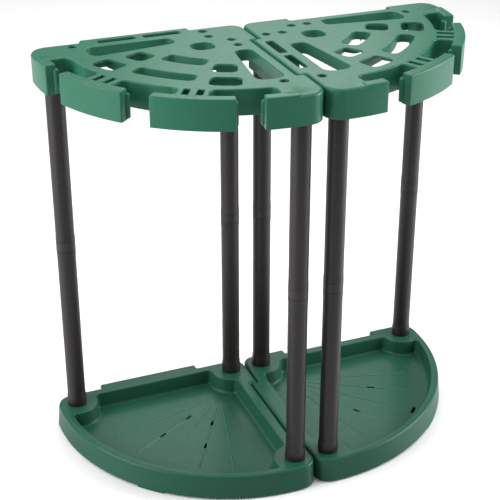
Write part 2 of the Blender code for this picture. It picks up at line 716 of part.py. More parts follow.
def arc_foot():
    """The foot under the middle of the arc, nearly flush with the tray's outer wall."""
    radius = ARC_RADIUS + TRAY_FLARE - ARC_FOOT_INSET - ARC_FOOT_WIDTH / 2
    foot = arc_strip(radius, ARC_FOOT_WIDTH, MIDDLE, ARC_FOOT_LENGTH)
    return prisms("arc_foot", [(foot, 0.0, TRAY_BOTTOM + OVERCUT)])


def arc_strip(radius, width, angle, length, centre=ARC_CENTRE):
    """A strip between two arcs about a centre on the half's diagonal."""
    low, high = angle - length / radius / 2, angle + length / radius / 2
    outline = arc_points(radius + width / 2, low, high, centre)
    return outline + arc_points(radius - width / 2, high, low, centre)


def pegs():
    """Pegs that stand on the tray's posts and locate the lower tubes."""
    mesh = bmesh.new()
    top = TRAY_HEIGHT + PEG_HEIGHT
    for u, v in leg_places():
        add_loft(mesh, [
            (ring(u, v, PLUG_RADIUS, TUBE_SIDES), TRAY_HEIGHT - TRAY_SHEET),
            (ring(u, v, PLUG_RADIUS, TUBE_SIDES), top - PEG_TAPER),
            (ring(u, v, PLUG_RADIUS - PEG_TAPER, TUBE_SIDES), top),
        ])
    return new_object("pegs", mesh)


def take_mesh(obj):
    """Keep an object's mesh and drop the object."""
    data = obj.data
    bpy.data.objects.remove(obj)
    return data


def turned_mesh(name, profile):
    """Mesh turned about the upright axis from a closed profile of (radius, height)."""
    mesh = bmesh.new()
    step = 2 * math.pi / TUBE_SIDES
    scale = 1 / math.cos(step / 2)
    rings = []
    for radius, z in profile:
        reach = radius * scale
        rings.append([mesh.verts.new((reach * math.cos(step * (i + 0.5)),
                                      reach * math.sin(step * (i + 0.5)), z))
                      for i in range(TUBE_SIDES)])
    for k, current in enumerate(rings):
        following = rings[(k + 1) % len(rings)]
        for i in range(TUBE_SIDES):
            j = (i + 1) % TUBE_SIDES
            mesh.faces.new((current[i], current[j], following[j], following[i]))
    data = bpy.data.meshes.new(name)
    mesh.to_mesh(data)
    mesh.free()
    return data


def lower_tube_mesh():
    """Lower tube, heights from its own foot, swollen at the foot and at the coupler."""
    length = COUPLER_BOTTOM - TRAY_HEIGHT - 2 * CONTACT_GAP
    return turned_mesh("lower_tube", [
        (TUBE_RADIUS + FOOT_SWELL, 0.0),
        (TUBE_RADIUS + FOOT_SWELL, FOOT_LENGTH),
        (TUBE_RADIUS, FOOT_LENGTH + FOOT_TAPER),
        (TUBE_RADIUS, length - JOINT_TAPER),
        (BAND_RADIUS, length),
        (TUBE_BORE, length),
        (TUBE_BORE, 0.0),
    ])


def upper_tube_mesh():
    """Upper tube, heights from its own foot, swollen at the coupler."""
    length = SOCKET_TOP - COUPLER_TOP - 2 * CONTACT_GAP
    return turned_mesh("upper_tube", [
        (BAND_RADIUS, 0.0),
        (TUBE_RADIUS, JOINT_TAPER),
        (TUBE_RADIUS, length),
        (TUBE_BORE, length),
        (TUBE_BORE, 0.0),
    ])


def coupler_mesh():
    """Coupler, heights from its band's foot: a band with a plug up and a plug down."""
    return turned_mesh("coupler", [
        (PLUG_RADIUS, -COUPLER_PLUG),
        (PLUG_RADIUS, 0.0),
        (BAND_RADIUS, 0.0),
        (BAND_RADIUS, COUPLER_BAND),
        (PLUG_RADIUS, COUPLER_BAND),
        (PLUG_RADIUS, COUPLER_BAND + COUPLER_PLUG),
        (PLUG_RADIUS - COUPLER_WALL, COUPLER_BAND + COUPLER_PLUG),
        (PLUG_RADIUS - COUPLER_WALL, -COUPLER_PLUG),
    ])


def place(name, data, half, location):
    """Add a node that shares a mesh, placed in the plan frame of its half."""
    obj = bpy.data.objects.new(name, data)
    bpy.context.scene.collection.objects.link(obj)
    obj.parent = half
    obj.location = location
    return obj


def build_half(side, turn, shift, meshes):
    """Place one half's plate, tray and legs under an empty at its square corner."""
    half = bpy.data.objects.new(side + "_half", None)
    bpy.context.scene.collection.objects.link(half)
    half.location = (shift, BACK_EDGE, 0.0)
    half.rotation_euler = (0.0, 0.0, turn)
    place(side + "_top_plate", meshes["plate"], half, (0.0, 0.0, 0.0))
    place(side + "_tray", meshes["tray"], half, (0.0, 0.0, 0.0))
    for leg, places in LEGS.items():
        u, v = places[side]
        stem = side + "_" + leg
        place(stem + "_lower_tube", meshes["lower"], half, (u, v, TRAY_HEIGHT + CONTACT_GAP))
        place(stem + "_coupler", meshes["coupler"], half, (u, v, COUPLER_BOTTOM))
        place(stem + "_upper_tube", meshes["upper"], half, (u, v, COUPLER_TOP + CONTACT_GAP))


def main():
    """Clear the scene and build the rack."""
    for obj in list(bpy.data.objects):
        bpy.data.objects.remove(obj)
    meshes = {
        "plate": build_plate(),
        "tray": build_tray(),
        "lower": lower_tube_mesh(),
        "coupler": coupler_mesh(),
        "upper": upper_tube_mesh(),
    }
    finish_mesh(meshes["plate"], "plate_green", PLATE_COLOUR, 0.38)
    finish_mesh(meshes["tray"], "tray_green", TRAY_COLOUR, 0.42)
    finish_mesh(meshes["lower"], "lower_tube_black", TUBE_COLOUR, 0.45)
    finish_mesh(meshes["coupler"], "coupler_black", COUPLER_COLOUR, 0.45)
    finish_mesh(meshes["upper"], "upper_tube_black", TUBE_COLOUR, 0.45)
    build_half("left", math.pi, -SEAM_GAP / 2, meshes)
    build_half("right", -QUARTER, SEAM_GAP / 2, meshes)


if __name__ == "__main__":
    main()
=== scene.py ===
"""Looks of the tool storage rack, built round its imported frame.

The rack is two equal quarter-round halves. One half is laid out in its own plan: u runs along the
edge that carries the tab, v along the edge that carries the recess, and both start at the square
corner. Each moulding is a skin of swept edges and flat fills, so that every edge has its own
rounding. Lengths are in metres.
"""

from __future__ import annotations

import logging
import math
from dataclasses import dataclass, field
from enum import Enum
from typing import Callable, NamedTuple, Sequence

import bpy
import numpy as np
from mathutils import Matrix, Vector
from mathutils.geometry import delaunay_2d_cdt

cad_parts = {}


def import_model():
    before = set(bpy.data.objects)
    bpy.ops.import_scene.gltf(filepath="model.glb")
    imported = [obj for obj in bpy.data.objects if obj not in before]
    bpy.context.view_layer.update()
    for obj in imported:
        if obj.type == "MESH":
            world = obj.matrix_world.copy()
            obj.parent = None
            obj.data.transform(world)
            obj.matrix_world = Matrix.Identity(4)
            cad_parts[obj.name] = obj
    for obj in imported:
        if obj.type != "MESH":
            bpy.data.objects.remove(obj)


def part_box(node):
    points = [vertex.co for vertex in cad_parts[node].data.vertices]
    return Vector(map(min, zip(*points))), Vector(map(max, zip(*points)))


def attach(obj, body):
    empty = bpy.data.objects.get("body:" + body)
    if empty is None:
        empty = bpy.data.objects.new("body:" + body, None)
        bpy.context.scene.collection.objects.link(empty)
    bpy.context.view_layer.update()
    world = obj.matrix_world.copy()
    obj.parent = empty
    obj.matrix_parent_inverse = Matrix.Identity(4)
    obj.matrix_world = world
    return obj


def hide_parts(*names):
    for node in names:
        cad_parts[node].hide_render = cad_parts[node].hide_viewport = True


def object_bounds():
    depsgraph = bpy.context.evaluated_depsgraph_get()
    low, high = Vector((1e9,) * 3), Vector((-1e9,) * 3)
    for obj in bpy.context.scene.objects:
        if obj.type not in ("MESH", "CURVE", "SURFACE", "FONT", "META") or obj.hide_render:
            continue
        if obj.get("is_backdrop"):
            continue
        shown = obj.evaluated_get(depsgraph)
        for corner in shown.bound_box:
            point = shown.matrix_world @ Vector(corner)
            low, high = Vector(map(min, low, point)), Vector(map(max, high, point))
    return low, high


LOG = logging.getLogger("tool_rack")
# A half spans a quarter turn, and its diagonal points along the middle of it.
QUARTER = math.pi / 2
MIDDLE = math.pi / 4
# Distance of the extra ring beside a rounding, which keeps the shading of the next face level.
SUPPORT = 0.0003
# Gap between pieces that are pushed together.
FIT_GAP = 0.0003
LEAST_FILLET = 0.0004
# Angles from which an edge is shaded sharp.
MOULDING_CREASE = math.radians(32.0)
RIDGE_CREASE = math.radians(60.0)
TUBE_CREASE = math.radians(40.0)

Span = tuple[float, float]


class Side(Enum):
    """The two halves of the rack."""

    LEFT = "left"
    RIGHT = "right"

    @property
    def body(self) -> str:
        """Name of the half's body in the frame."""
        return self.value + "_module"

    def node(self, name: str) -> str:
        """Name of one of the half's nodes in the frame."""
        return self.value + "_" + name


class Leg(Enum):
    """The three legs of a half, by where they stand in the rack."""

    OUTER = "outer"
    INNER = "inner"
    FRONT = "front"


def held(value: float) -> float:
    """A value held between 0 and 1."""
    return min(1.0, max(0.0, value))


def eased(value: float) -> float:
    """A smooth step from 0 to 1 as a value goes from 0 to 1."""
    share = held(value)
    return share * share * (3 - 2 * share)


def both_ways(span: Span) -> tuple[Span, Span]:
    """A span of angles and its mirror image across the half's diagonal."""
    return span, (QUARTER - span[1], QUARTER - span[0])


class Corner(NamedTuple):
    """A corner of an outline, with the radius of its fillet and the steps in it."""

    x: float
    y: float
    radius: float = 0.0
    steps: int = 0


@dataclass
class Outline:
    """A closed anticlockwise outline in plan."""

    corners: list[Corner]

    def inset(self, distance: float) -> Outline:
        """Move every edge inwards, and the fillets with it.

        Args:
            distance: How far the edges move; negative moves them outwards.

        Returns:
            The moved outline, with as many points.
        """
        moved = []
        count = len(self.corners)
        for i, here in enumerate(self.corners):
            before, after = self.corners[i - 1], self.corners[(i + 1) % count]
            ax, ay = here.x - before.x, here.y - before.y
            bx, by = after.x - here.x, after.y - here.y
            a_length, b_length = math.hypot(ax, ay), math.hypot(bx, by)
            nx = -ay / a_length - by / b_length
            ny = ax / a_length + bx / b_length
            scale = 2 * distance / (nx * nx + ny * ny)
            radius = here.radius
            if here.steps:
                grown = -distance if ax * by - ay * bx > 0 else distance
                radius = max(radius + grown, LEAST_FILLET)
            moved.append(Corner(here.x + scale * nx, here.y + scale * ny, radius, here.steps))
        return Outline(moved)

    def points(self) -> list[tuple[float, float]]:
        """Plain points of the outline, each fillet turned into a short arc.

        Returns:
            The points.
        """
        found: list[tuple[float, float]] = []
        count = len(self.corners)
        for i, here in enumerate(self.corners):
            if here.steps:
                found += self._fillet(self.corners[i - 1], here, self.corners[(i + 1) % count])
            else:
                found.append((here.x, here.y))
        return found

    @staticmethod
    def _fillet(before: Corner, here: Corner, after: Corner) -> list[tuple[float, float]]:
        """Round one corner.

        Args:
            before: The corner before it.
            here: The corner.
            after: The corner after it.

        Returns:
            Points along the fillet.
        """
        half_edge, whole_edge = 0.49, 0.95
        ax, ay = before.x - here.x, before.y - here.y
        bx, by = after.x - here.x, after.y - here.y
        a_length, b_length = math.hypot(ax, ay), math.hypot(bx, by)
        ax, ay, bx, by = ax / a_length, ay / a_length, bx / b_length, by / b_length
        half = math.acos(max(-1.0, min(1.0, ax * bx + ay * by))) / 2
        a_limit = a_length * (half_edge if before.steps else whole_edge)
        b_limit = b_length * (half_edge if after.steps else whole_edge)
        reach = min(here.radius / math.tan(half), a_limit, b_limit)
        size = reach * math.tan(half)
        middle = math.hypot(ax + bx, ay + by)
        cx = here.x + (ax + bx) / middle * size / math.sin(half)
        cy = here.y + (ay + by) / middle * size / math.sin(half)
        start = math.atan2(here.y + ay * reach - cy, here.x + ax * reach - cx)
        end = math.atan2(here.y + by * reach - cy, here.x + bx * reach - cx)
        sweep = (end - start + math.pi) % (2 * math.pi) - math.pi
        angles = [start + sweep * k / here.steps for k in range(here.steps + 1)]
        return [(cx + size * math.cos(angle), cy + size * math.sin(angle)) for angle in angles]

    def mirrored(self) -> Outline:
        """The outline swapped across the half's diagonal."""
        return Outline([Corner(c.y, c.x, c.radius, c.steps) for c in reversed(self.corners)])

    @staticmethod
    def circle(x: float, y: float, radius: float, sides: int) -> Outline:
        """A round outline about a point."""
        turns = [2 * math.pi / sides * i for i in range(sides)]
        return Outline([Corner(x + radius * math.cos(turn), y + radius * math.sin(turn)) for turn in turns])

    @staticmethod
    def bar(x: float, y: float, angle: float, size: Span, radius: float, steps: int = 5) -> Outline:
        """A rounded rectangle about a point.

        Args:
            x: Middle of the rectangle.
            y: Middle of the rectangle.
            angle: Direction of its length.
            size: Length and width.
            radius: Fillet of its corners.
            steps: Steps in each fillet.

        Returns:
            The outline.
        """
        c, s = math.cos(angle), math.sin(angle)
        return Outline([Corner(x + i * c * size[0] / 2 - j * s * size[1] / 2,
                               y + i * s * size[0] / 2 + j * c * size[1] / 2, radius, steps)
                        for i, j in ((-1, -1), (1, -1), (1, 1), (-1, 1))])


Height = float | Callable[[float, float], float]
Ring = tuple[Outline, Height]
Line = Sequence[tuple[float, float]]
Point = tuple[float, float, float]


def is_inside(polygon: np.ndarray, points: np.ndarray) -> np.ndarray:
    """Tell which points lie inside a polygon.

    Args:
        polygon: Its corners, one a row.
        points: The points, one a row.

    Returns:
        True or False for each point.
    """
    inside = np.zeros(len(points), bool)
    x, y = points[:, 0], points[:, 1]
    for (x1, y1), (x2, y2) in zip(polygon, np.roll(polygon, -1, axis=0)):
        if y1 != y2:
            inside ^= ((y1 > y) != (y2 > y)) & (x < (x2 - x1) * (y - y1) / (y2 - y1) + x1)
    return inside


def smoothed(data: bpy.types.Mesh, crease: float) -> bpy.types.Mesh:
    """Shade a mesh smooth, apart from its sharper edges.

    Args:
        data: The mesh.
        crease: Angle from which an edge stays sharp.

    Returns:
        The same mesh.
    """
    data.shade_smooth()
    data.set_sharp_from_angle(angle=crease)
    return data


def guide_mesh(name: str, lines: Sequence[tuple[Point, Point]]) -> bpy.types.Mesh:
    """Make a mesh of straight guide lines.

    Args:
        name: The mesh's name.
        lines: The two ends of each line.

    Returns:
        The mesh.
    """
    ends = [end for line in lines for end in line]
    data = bpy.data.meshes.new(name)
    data.from_pydata(ends, [(i, i + 1) for i in range(0, len(ends), 2)], [])
    return data


@dataclass
class Skin:
    """A closed skin made of swept rings and flat fills."""

    vertices: list[Point] = field(default_factory=list)
    faces: list[tuple[int, ...]] = field(default_factory=list)

    def ring(self, outline: Outline, height: Height) -> list[int]:
        """Add one ring of vertices.

        Args:
            outline: The ring's outline.
            height: Its height, or a function that gives it for each point.

        Returns:
            The vertices' numbers.
        """
        first = len(self.vertices)
        self.vertices += [(x, y, height(x, y) if callable(height) else height) for x, y in outline.points()]
        return list(range(first, len(self.vertices)))

    def sweep(self, rings: Sequence[Ring], is_hole: bool) -> tuple[list[int], list[int]]:
        """Join rings one after another with quads.

        Args:
            rings: Outlines and heights, from the top face over the edge and on.
            is_hole: True where the material lies outside the outline.

        Returns:
            The vertex numbers of the first and the last ring.
        """
        numbered = [self.ring(outline, z) for outline, z in rings]
        for here, after in zip(numbered, numbered[1:]):
            count = len(here)
            for i in range(count):
                j = (i + 1) % count
                quad = (here[i], after[i], after[j], here[j])
                self.faces.append(tuple(reversed(quad)) if is_hole else quad)
        return numbered[0], numbered[-1]

    def fill(self, edge: list[int], holes: Sequence[list[int]], is_up: bool,
             lines: Sequence[Line] = ()) -> None:
        """Fill a level region with triangles.

        Args:
            edge: Ring round the region.
            holes: Rings inside it that stay open.
            is_up: True if the fill faces up.
            lines: Open runs of points that the triangles' edges follow.
        """
        rings = [edge, *holes]
        numbers = [i for ring in rings for i in ring]
        z = self.vertices[edge[0]][2]
        plane = [Vector(self.vertices[i][:2]) for i in numbers]
        joins = []
        start = 0
        for ring in rings:
            count = len(ring)
            joins += [(start + i, start + (i + 1) % count) for i in range(count)]
            start += count
        for line in lines:
            start = len(plane)
            plane += [Vector(point) for point in line]
            joins += [(start + i, start + i + 1) for i in range(len(line) - 1)]
        found, _, triangles, origins, _, _ = delaunay_2d_cdt(plane, joins, [], 0, 1e-7, True)
        while len(numbers) < len(plane):
            numbers.append(len(self.vertices))
            self.vertices.append((*plane[len(numbers) - 1], z))
        back = []
        for point, origin in zip(found, origins):
            if origin:
                back.append(numbers[origin[0]])
            else:
                back.append(len(self.vertices))
                self.vertices.append((point.x, point.y, z))
        flat = np.array([tuple(point) for point in found])
        corners = np.array([tuple(face) for face in triangles])
        middles = flat[corners].mean(axis=1)
        keep = is_inside(np.array([self.vertices[i][:2] for i in edge]), middles)
        for ring in holes:
            keep &= ~is_inside(np.array([self.vertices[i][:2] for i in ring]), middles)
        for a, b, c in corners[keep]:
            u, v, w = back[a], back[b], back[c]
            self.faces.append((u, v, w) if is_up else (w, v, u))

    def cap(self, ring: list[int], is_up: bool) -> None:
        """Close a ring with one flat face."""
        self.faces.append(tuple(ring) if is_up else tuple(reversed(ring)))

    def block(self, rings: Sequence[Ring]) -> None:
        """Add a solid of its own, closed at both ends.

        Args:
            rings: Outlines and heights, from its top down.
        """
        first, last = self.sweep(rings, is_hole=False)
        self.cap(first, is_up=True)
        self.cap(last, is_up=False)

    def move(self, change: Callable[[float, float, float], float]) -> None:
        """Give every vertex the height that a function of its place says."""
        self.vertices = [(x, y, change(x, y, z)) for x, y, z in self.vertices]

    def piece(self, name: str, place: Callable[[float, float], tuple[float, float]]) -> bpy.types.Object:
        """Make the piece, with its plan laid where the half stands.

        Args:
            name: The piece's name.
            place: Turns a point of the plan into one of the frame.

        Returns:
            The piece, shaded smooth up to its creases.
        """
        data = bpy.data.meshes.new(name)
        data.from_pydata([(*place(x, y), z) for x, y, z in self.vertices], [], self.faces)
        data.validate()
        return link(name, smoothed(data, MOULDING_CREASE))


def quarter_round(outline: Outline, radius: float, z: float, inwards: float, steps: int,
                  is_top: bool = True) -> list[Ring]:
    """Rings over a rounded edge between a level face and an upright one.

    Args:
        outline: The upright face's outline.
        radius: The rounding.
        z: Height of the level face.
        inwards: 1 if the level face lies inside the outline, -1 if outside.
        steps: Steps in the rounding.
        is_top: True for an edge above the upright face, False for one below it.

    Returns:
        Rings from the level face to the upright one.
    """
    rings = []
    for k in range(steps + 1):
        angle = QUARTER * k / steps
        rise = radius * (1 - math.cos(angle))
        moved = outline.inset(inwards * radius * (1 - math.sin(angle)))
        rings.append((moved, z - rise if is_top else z + rise))
    return rings


def round_rings(u: float, v: float, sides: int, profile: Line) -> list[Ring]:
    """Rings about an upright axis, one for each radius and height of a profile."""
    return [(Outline.circle(u, v, radius, sides), z) for radius, z in profile]


@dataclass
class Plan:
    """Plan of one half, shared by its plate and its tray."""

    arc_centre: float = 0.036
    arc_radius: float = 0.294
    arc_step: float = math.radians(1.5)
    fillet_room: float = 1.15
    square_corner: float = 0.020
    outer_corner: float = 0.026
    tab_start: float = 0.080
    tab_length: float = 0.170
    tab_reach: float = 0.012
    tab_clearance: float = 0.0005
    tab_corner: float = 0.003
    tab_root: float = 0.002
    leg_inset: float = 0.027
    leg_end_inset: float = 0.030

    @property
    def extent(self) -> float:
        """Length of a straight edge."""
        return self.arc_centre + self.arc_radius

    @property
    def leg_span(self) -> float:
        """Far legs' distance from the square corner."""
        return self.extent - self.leg_end_inset

    def legs(self) -> tuple[Span, ...]:
        """Places of the three legs in plan."""
        near, far = self.leg_inset, self.leg_span
        return (far, near), (near, near), (near, far)

    def polar(self, radius: float, angle: float, centre: float | None = None) -> tuple[float, float]:
        """Point at a radius and angle about the arc's centre, or another on the diagonal."""
        middle = self.arc_centre if centre is None else centre
        return middle + radius * math.cos(angle), middle + radius * math.sin(angle)

    def arc(self, radius: float, start: float, end: float, centre: float | None = None,
            also: Sequence[float] = ()) -> list[Corner]:
        """Outline points along an arc, both ends included.

        Args:
            radius: The arc's radius.
            start: Angle of its first point.
            end: Angle of its last point.
            centre: Its centre on the diagonal, or None for the half's own arc.
            also: Further angles that get a point.

        Returns:
            The points.
        """
        count = max(3, round(abs(end - start) / self.arc_step))
        angles = {start + (end - start) * i / count for i in range(count + 1)}
        angles |= {angle for angle in also if min(start, end) < angle < max(start, end)}
        return [Corner(*self.polar(radius, angle, centre)) for angle in sorted(angles, reverse=end < start)]

    def between(self, radius: float, start: float, end: float, fillets: Span,
                centre: float | None = None, also: Sequence[float] = ()) -> list[Corner]:
        """Outline points along an arc, held clear of the fillets of the corners at its two ends."""
        turn = math.copysign(self.fillet_room / radius, end - start)
        return self.arc(radius, start + turn * fillets[0], end - turn * fillets[1], centre, also)

    def strip(self, radius: float, width: float, span: Span, centre: float | None = None) -> Outline:
        """A strip along an arc.

        Args:
            radius: Its middle radius.
            width: Its width.
            span: Angles of its ends.
            centre: The arc's centre on the diagonal, or None for the half's own arc.

        Returns:
            The outline.
        """
        low, high = span
        outer = self.arc(radius + width / 2, low, high, centre)
        return Outline(outer + self.arc(radius - width / 2, high, low, centre))

    def tab_edge(self, extent: float) -> list[Corner]:
        """Outline from the square corner along the edge with the tab, as far as the arc.

        Args:
            extent: Length of the edge.

        Returns:
            The corners.
        """
        start, end, reach = self.tab_start, self.tab_start + self.tab_length, self.tab_reach
        return [Corner(0.0, 0.0, self.square_corner, 14), Corner(start, 0.0, self.tab_root, 4),
                Corner(start, -reach, self.tab_corner, 6), Corner(end, -reach, self.tab_corner, 6),
                Corner(end, 0.0, self.tab_root, 4), Corner(extent, 0.0, self.outer_corner, 16)]

    def recess_edge(self, extent: float) -> list[Corner]:
        """Outline from the arc back along the edge with the recess to the square corner.

        Args:
            extent: Length of the edge.

        Returns:
            The corners.
        """
        start, reach = self.tab_start - self.tab_clearance, self.tab_reach
        end = self.tab_start + self.tab_length + self.tab_clearance
        return [Corner(0.0, extent, self.outer_corner, 16), Corner(0.0, end, self.tab_corner, 6),
                Corner(reach, end, self.tab_root, 4), Corner(reach, start, self.tab_root, 4),
                Corner(0.0, start, self.tab_corner, 6)]

    def place(self, side: Side) -> Callable[[float, float], tuple[float, float]]:
        """How a half's plan lies in the frame, read from the frame's own plates.

        Args:
            side: The half.

        Returns:
            A function that turns a point of the plan into one of the frame.
        """
        low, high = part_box(side.node("top_plate"))
        if side is Side.LEFT:
            x0, y0 = high.x, high.y - self.tab_reach
            return lambda u, v: (x0 - u, y0 - v)
        x0, y0 = high.x - self.extent, high.y
        return lambda u, v: (x0 + v, y0 - u)


class Sector(NamedTuple):
    """An opening between two arcs about the square corner, by its middle and its size."""

    radius: float
    angle: float
    depth: float
    length: float


@dataclass
class PlateMoulding:
    """Top plate of a half: a hollow moulding with sleeves, ribs, sockets and beaded bay mouths."""

    plan: Plan
    top: float
    bottom: float
    web: float = 0.0035
    wall: float = 0.0035
    wall_root: float = 0.0008
    foot_round: float = 0.0008
    edge_round: float = 0.0024
    soft_width: float = 0.0055
    soft_sink: float = 0.0022
    lip_rise: float = 0.0015
    lip_ends: Span = (math.radians(3.5), math.radians(1.0))
    lip_ramp: float = math.radians(0.25)
    lip_inset: float = 0.0012
    lip_step: float = 0.0011
    lip_fade: Span = (0.012, 0.009)
    bay_lift: float = 0.0055
    bay_lift_margin: float = 0.0046
    bay_lift_turn: float = 0.03
    guard_thickness: float = 0.016
    bay_depth: float = 0.028
    side_bay: Span = (math.radians(5.3), math.radians(25.4))
    side_mouth: Span = (math.radians(10.5), math.radians(18.0))
    middle_bay_from: float = math.radians(35.2)
    middle_mouth_from: float = math.radians(41.0)
    bay_back_fillet: float = 0.011
    bay_front_fillet: float = 0.004
    guard_end_fillet: float = 0.002
    bead_radius: float = 0.0045
    bead_stand: float = 0.0035
    bead_drop: float = 0.007
    bead_lift: float = 0.001
    hole_round: float = 0.0013
    hole_rim: float = 0.0005
    sleeve_wall: float = 0.0022
    sleeve_root: float = 0.0006
    sleeve_depth: float = 0.014
    wedge_sleeve_depth: float = 0.019
    opening_fillet: float = 0.009
    wedge_span: Span = (0.121, 0.253)
    wedge_edge: float = 0.029
    wedge_width: Span = (0.026, 0.043)
    wedge_fillets: Span = (0.010, 0.014)
    square_place: Span = (0.0895, 0.084)
    square_size: Span = (0.034, 0.034)
    square_fillet: float = 0.013
    arcs: tuple[Sector, ...] = (Sector(0.190, MIDDLE, 0.028, 0.066), Sector(0.257, MIDDLE, 0.026, 0.094))
    pairs: tuple[Sector, ...] = (Sector(0.210, math.radians(26.6), 0.034, 0.034),
                                 Sector(0.2645, math.radians(25.2), 0.034, 0.044))
    edge_slot: Span = (0.058, 0.013)
    edge_slot_fillet: float = 0.003
    edge_slot_starts: Span = (0.098, 0.168)
    tool_hole: float = 0.0065
    hole_row: float = 0.065
    hole_edge: float = 0.0165
    hole_pitch: float = 0.0265
    far_hole: Span = (0.267, 0.0155)
    neck_slot: Span = (0.026, 0.009)
    neck_slot_fillet: float = 0.0015
    neck_slot_pitch: float = 0.0195
    rib_width: float = 0.0022
    rib_rim: float = 0.0004
    rib_depth: float = 0.020
    rib_radii: Span = (0.1865, 0.2410)
    inner_rib: Span = (math.radians(19.8), math.radians(31.2))
    inner_rib_end: Span = (math.radians(31.0), math.radians(34.7))
    outer_rib_from: float = math.radians(17.0)
    neck_rib_inset: float = 0.0016
    neck_rib_overlap: float = math.radians(1.5)
    slot_rib_depth: float = 0.025
    slot_rib_fillet: float = 0.0003
    slot_ribs: tuple[Span, ...] = ((0.0935, 0.0659), (0.1635, 0.0279))
    socket_bore: float = 0.0148
    socket_wall: float = 0.003
    socket_roof: float = 0.003
    socket_rim: float = 0.0006

    @property
    def under(self) -> float:
        """Height of the web's underside."""
        return self.top - self.web

    @property
    def guard_inner(self) -> float:
        """Radius of the guards' inner face."""
        return self.plan.arc_radius - self.guard_thickness

    @property
    def bay_inner(self) -> float:
        """Radius of the bays' back."""
        return self.guard_inner - self.bay_depth

    def bays(self) -> list[tuple[float, float, float, float]]:
        """Angles of the three bays.

        Returns:
            Each bay as (bay from, mouth from, mouth to, bay to), in turning order.
        """
        first = (self.side_bay[0], *self.side_mouth, self.side_bay[1])
        middle = (self.middle_bay_from, self.middle_mouth_from,
                  QUARTER - self.middle_mouth_from, QUARTER - self.middle_bay_from)
        return [first, middle, tuple(QUARTER - angle for angle in reversed(first))]

    def lip_angles(self) -> list[float]:
        """Angles of the arc's points that follow the step at each end of the lips.

        Returns:
            The angles, in turning order.
        """
        steps = [self.lip_ramp * k for k in (-0.6, -0.3, 0.0, 0.3, 0.6)]
        first, last = self.lip_ends
        return [first + step for step in steps] + [QUARTER - last + step for step in steps]

    def bay_side(self, mouth: float, bay: float) -> list[Corner]:
        """Corners of one side of a bay, from its mouth in to its back.

        Args:
            mouth: Angle of the guard's end.
            bay: Angle of the bay's side.

        Returns:
            The corners.
        """
        guard, end = self.guard_inner, self.guard_end_fillet
        step = guard - self.bay_lift_margin
        rows = ((self.plan.arc_radius, mouth, end, 6), (guard, mouth, end, 6),
                (guard, bay, self.bay_front_fillet, 8), (step, bay, 0.0, 0),
                (step - SUPPORT, bay, 0.0, 0), (self.bay_inner, bay, self.bay_back_fillet, 9))
        return [Corner(*self.plan.polar(radius, angle), *rounding) for radius, angle, *rounding in rows]

    def outline(self) -> Outline:
        """The plate's outer edge.

        Returns:
            The outline.
        """
        plan, back = self.plan, self.bay_back_fillet
        arc, lips = plan.arc_radius, self.lip_angles()
        room = self.guard_end_fillet + self.soft_width
        corners = [*plan.tab_edge(plan.extent), Corner(*plan.polar(arc, 0.0))]
        reached, start = 0.0, SUPPORT
        for bay_from, mouth_from, mouth_to, bay_to in self.bays():
            corners += plan.between(arc, reached, mouth_from, (start, room), also=lips)
            corners += self.bay_side(mouth_from, bay_from)
            corners += plan.between(self.bay_inner, bay_from, bay_to, (back, back))
            corners += reversed(self.bay_side(mouth_to, bay_to))
            reached, start = mouth_to, room
        corners += plan.between(arc, reached, QUARTER, (room, SUPPORT), also=lips)
        return Outline([*corners, Corner(*plan.polar(arc, QUARTER)), *plan.recess_edge(plan.extent)])

    def sector(self, hole: Sector) -> Outline:
        """Outline of an opening between two arcs.

        Args:
            hole: The opening.

        Returns:
            The outline.
        """
        plan, fillet = self.plan, self.opening_fillet
        inner, outer = hole.radius - hole.depth / 2, hole.radius + hole.depth / 2
        low = hole.angle - hole.length / hole.radius / 2
        high = hole.angle + hole.length / hole.radius / 2
        corners = []
        for radius, start, end in ((outer, low, high), (inner, high, low)):
            corners.append(Corner(*plan.polar(radius, start, 0.0), fillet, 8))
            corners += plan.between(radius, start, end, (fillet, fillet), 0.0)
            corners.append(Corner(*plan.polar(radius, end, 0.0), fillet, 8))
        return Outline(corners)

    def wedges(self) -> list[Outline]:
        """The two long openings, one along each straight edge.

        Returns:
            Their outlines.
        """
        (start, end), (narrow, wide), (small, large) = self.wedge_span, self.wedge_width, self.wedge_fillets
        near = self.wedge_edge
        wedge = Outline([Corner(start, near, small, 9), Corner(end, near, large, 10),
                         Corner(end, near + wide, large, 10), Corner(start, near + narrow, small, 9)])
        return [wedge, wedge.mirrored()]

    def tool_holes(self) -> list[Outline]:
        """The six round holes.

        Returns:
            Their outlines.
        """
        row, edge, step = self.hole_row, self.hole_edge, self.hole_pitch
        far, far_edge = self.far_hole
        places = ((row, edge), (row, edge + step), (row - step, edge + 2 * step),
                  (row - step, edge + 3 * step), (far, far_edge), (row - step, far))
        return [Outline.circle(u, v, self.tool_hole, 36) for u, v in places]

    def neck_slots(self) -> list[Outline]:
        """The two slots in each neck between the bays.

        Returns:
            Their outlines.
        """
        radius = (self.guard_inner + self.bay_inner) / 2
        middle = (self.side_bay[1] + self.middle_bay_from) / 2
        slots = []
        for angle in (middle, QUARTER - middle):
            u, v = self.plan.polar(radius, angle)
            for shift in (-self.neck_slot_pitch / 2, self.neck_slot_pitch / 2):
                slots.append(Outline.bar(u - math.sin(angle) * shift, v + math.cos(angle) * shift, angle,
                                         self.neck_slot, self.neck_slot_fillet, 4))
        return slots

    def sleeved_openings(self) -> list[tuple[Outline, float]]:
        """The openings with a sleeve under them.

        Returns:
            Each opening's outline, and how deep its sleeve reaches.
        """
        found = [Outline.bar(*self.square_place, 0.0, self.square_size, self.square_fillet, 10)]
        found += [self.sector(hole) for hole in self.arcs]
        return ([(hole, self.sleeve_depth) for hole in found]
                + [(wedge, self.wedge_sleeve_depth) for wedge in self.wedges()])

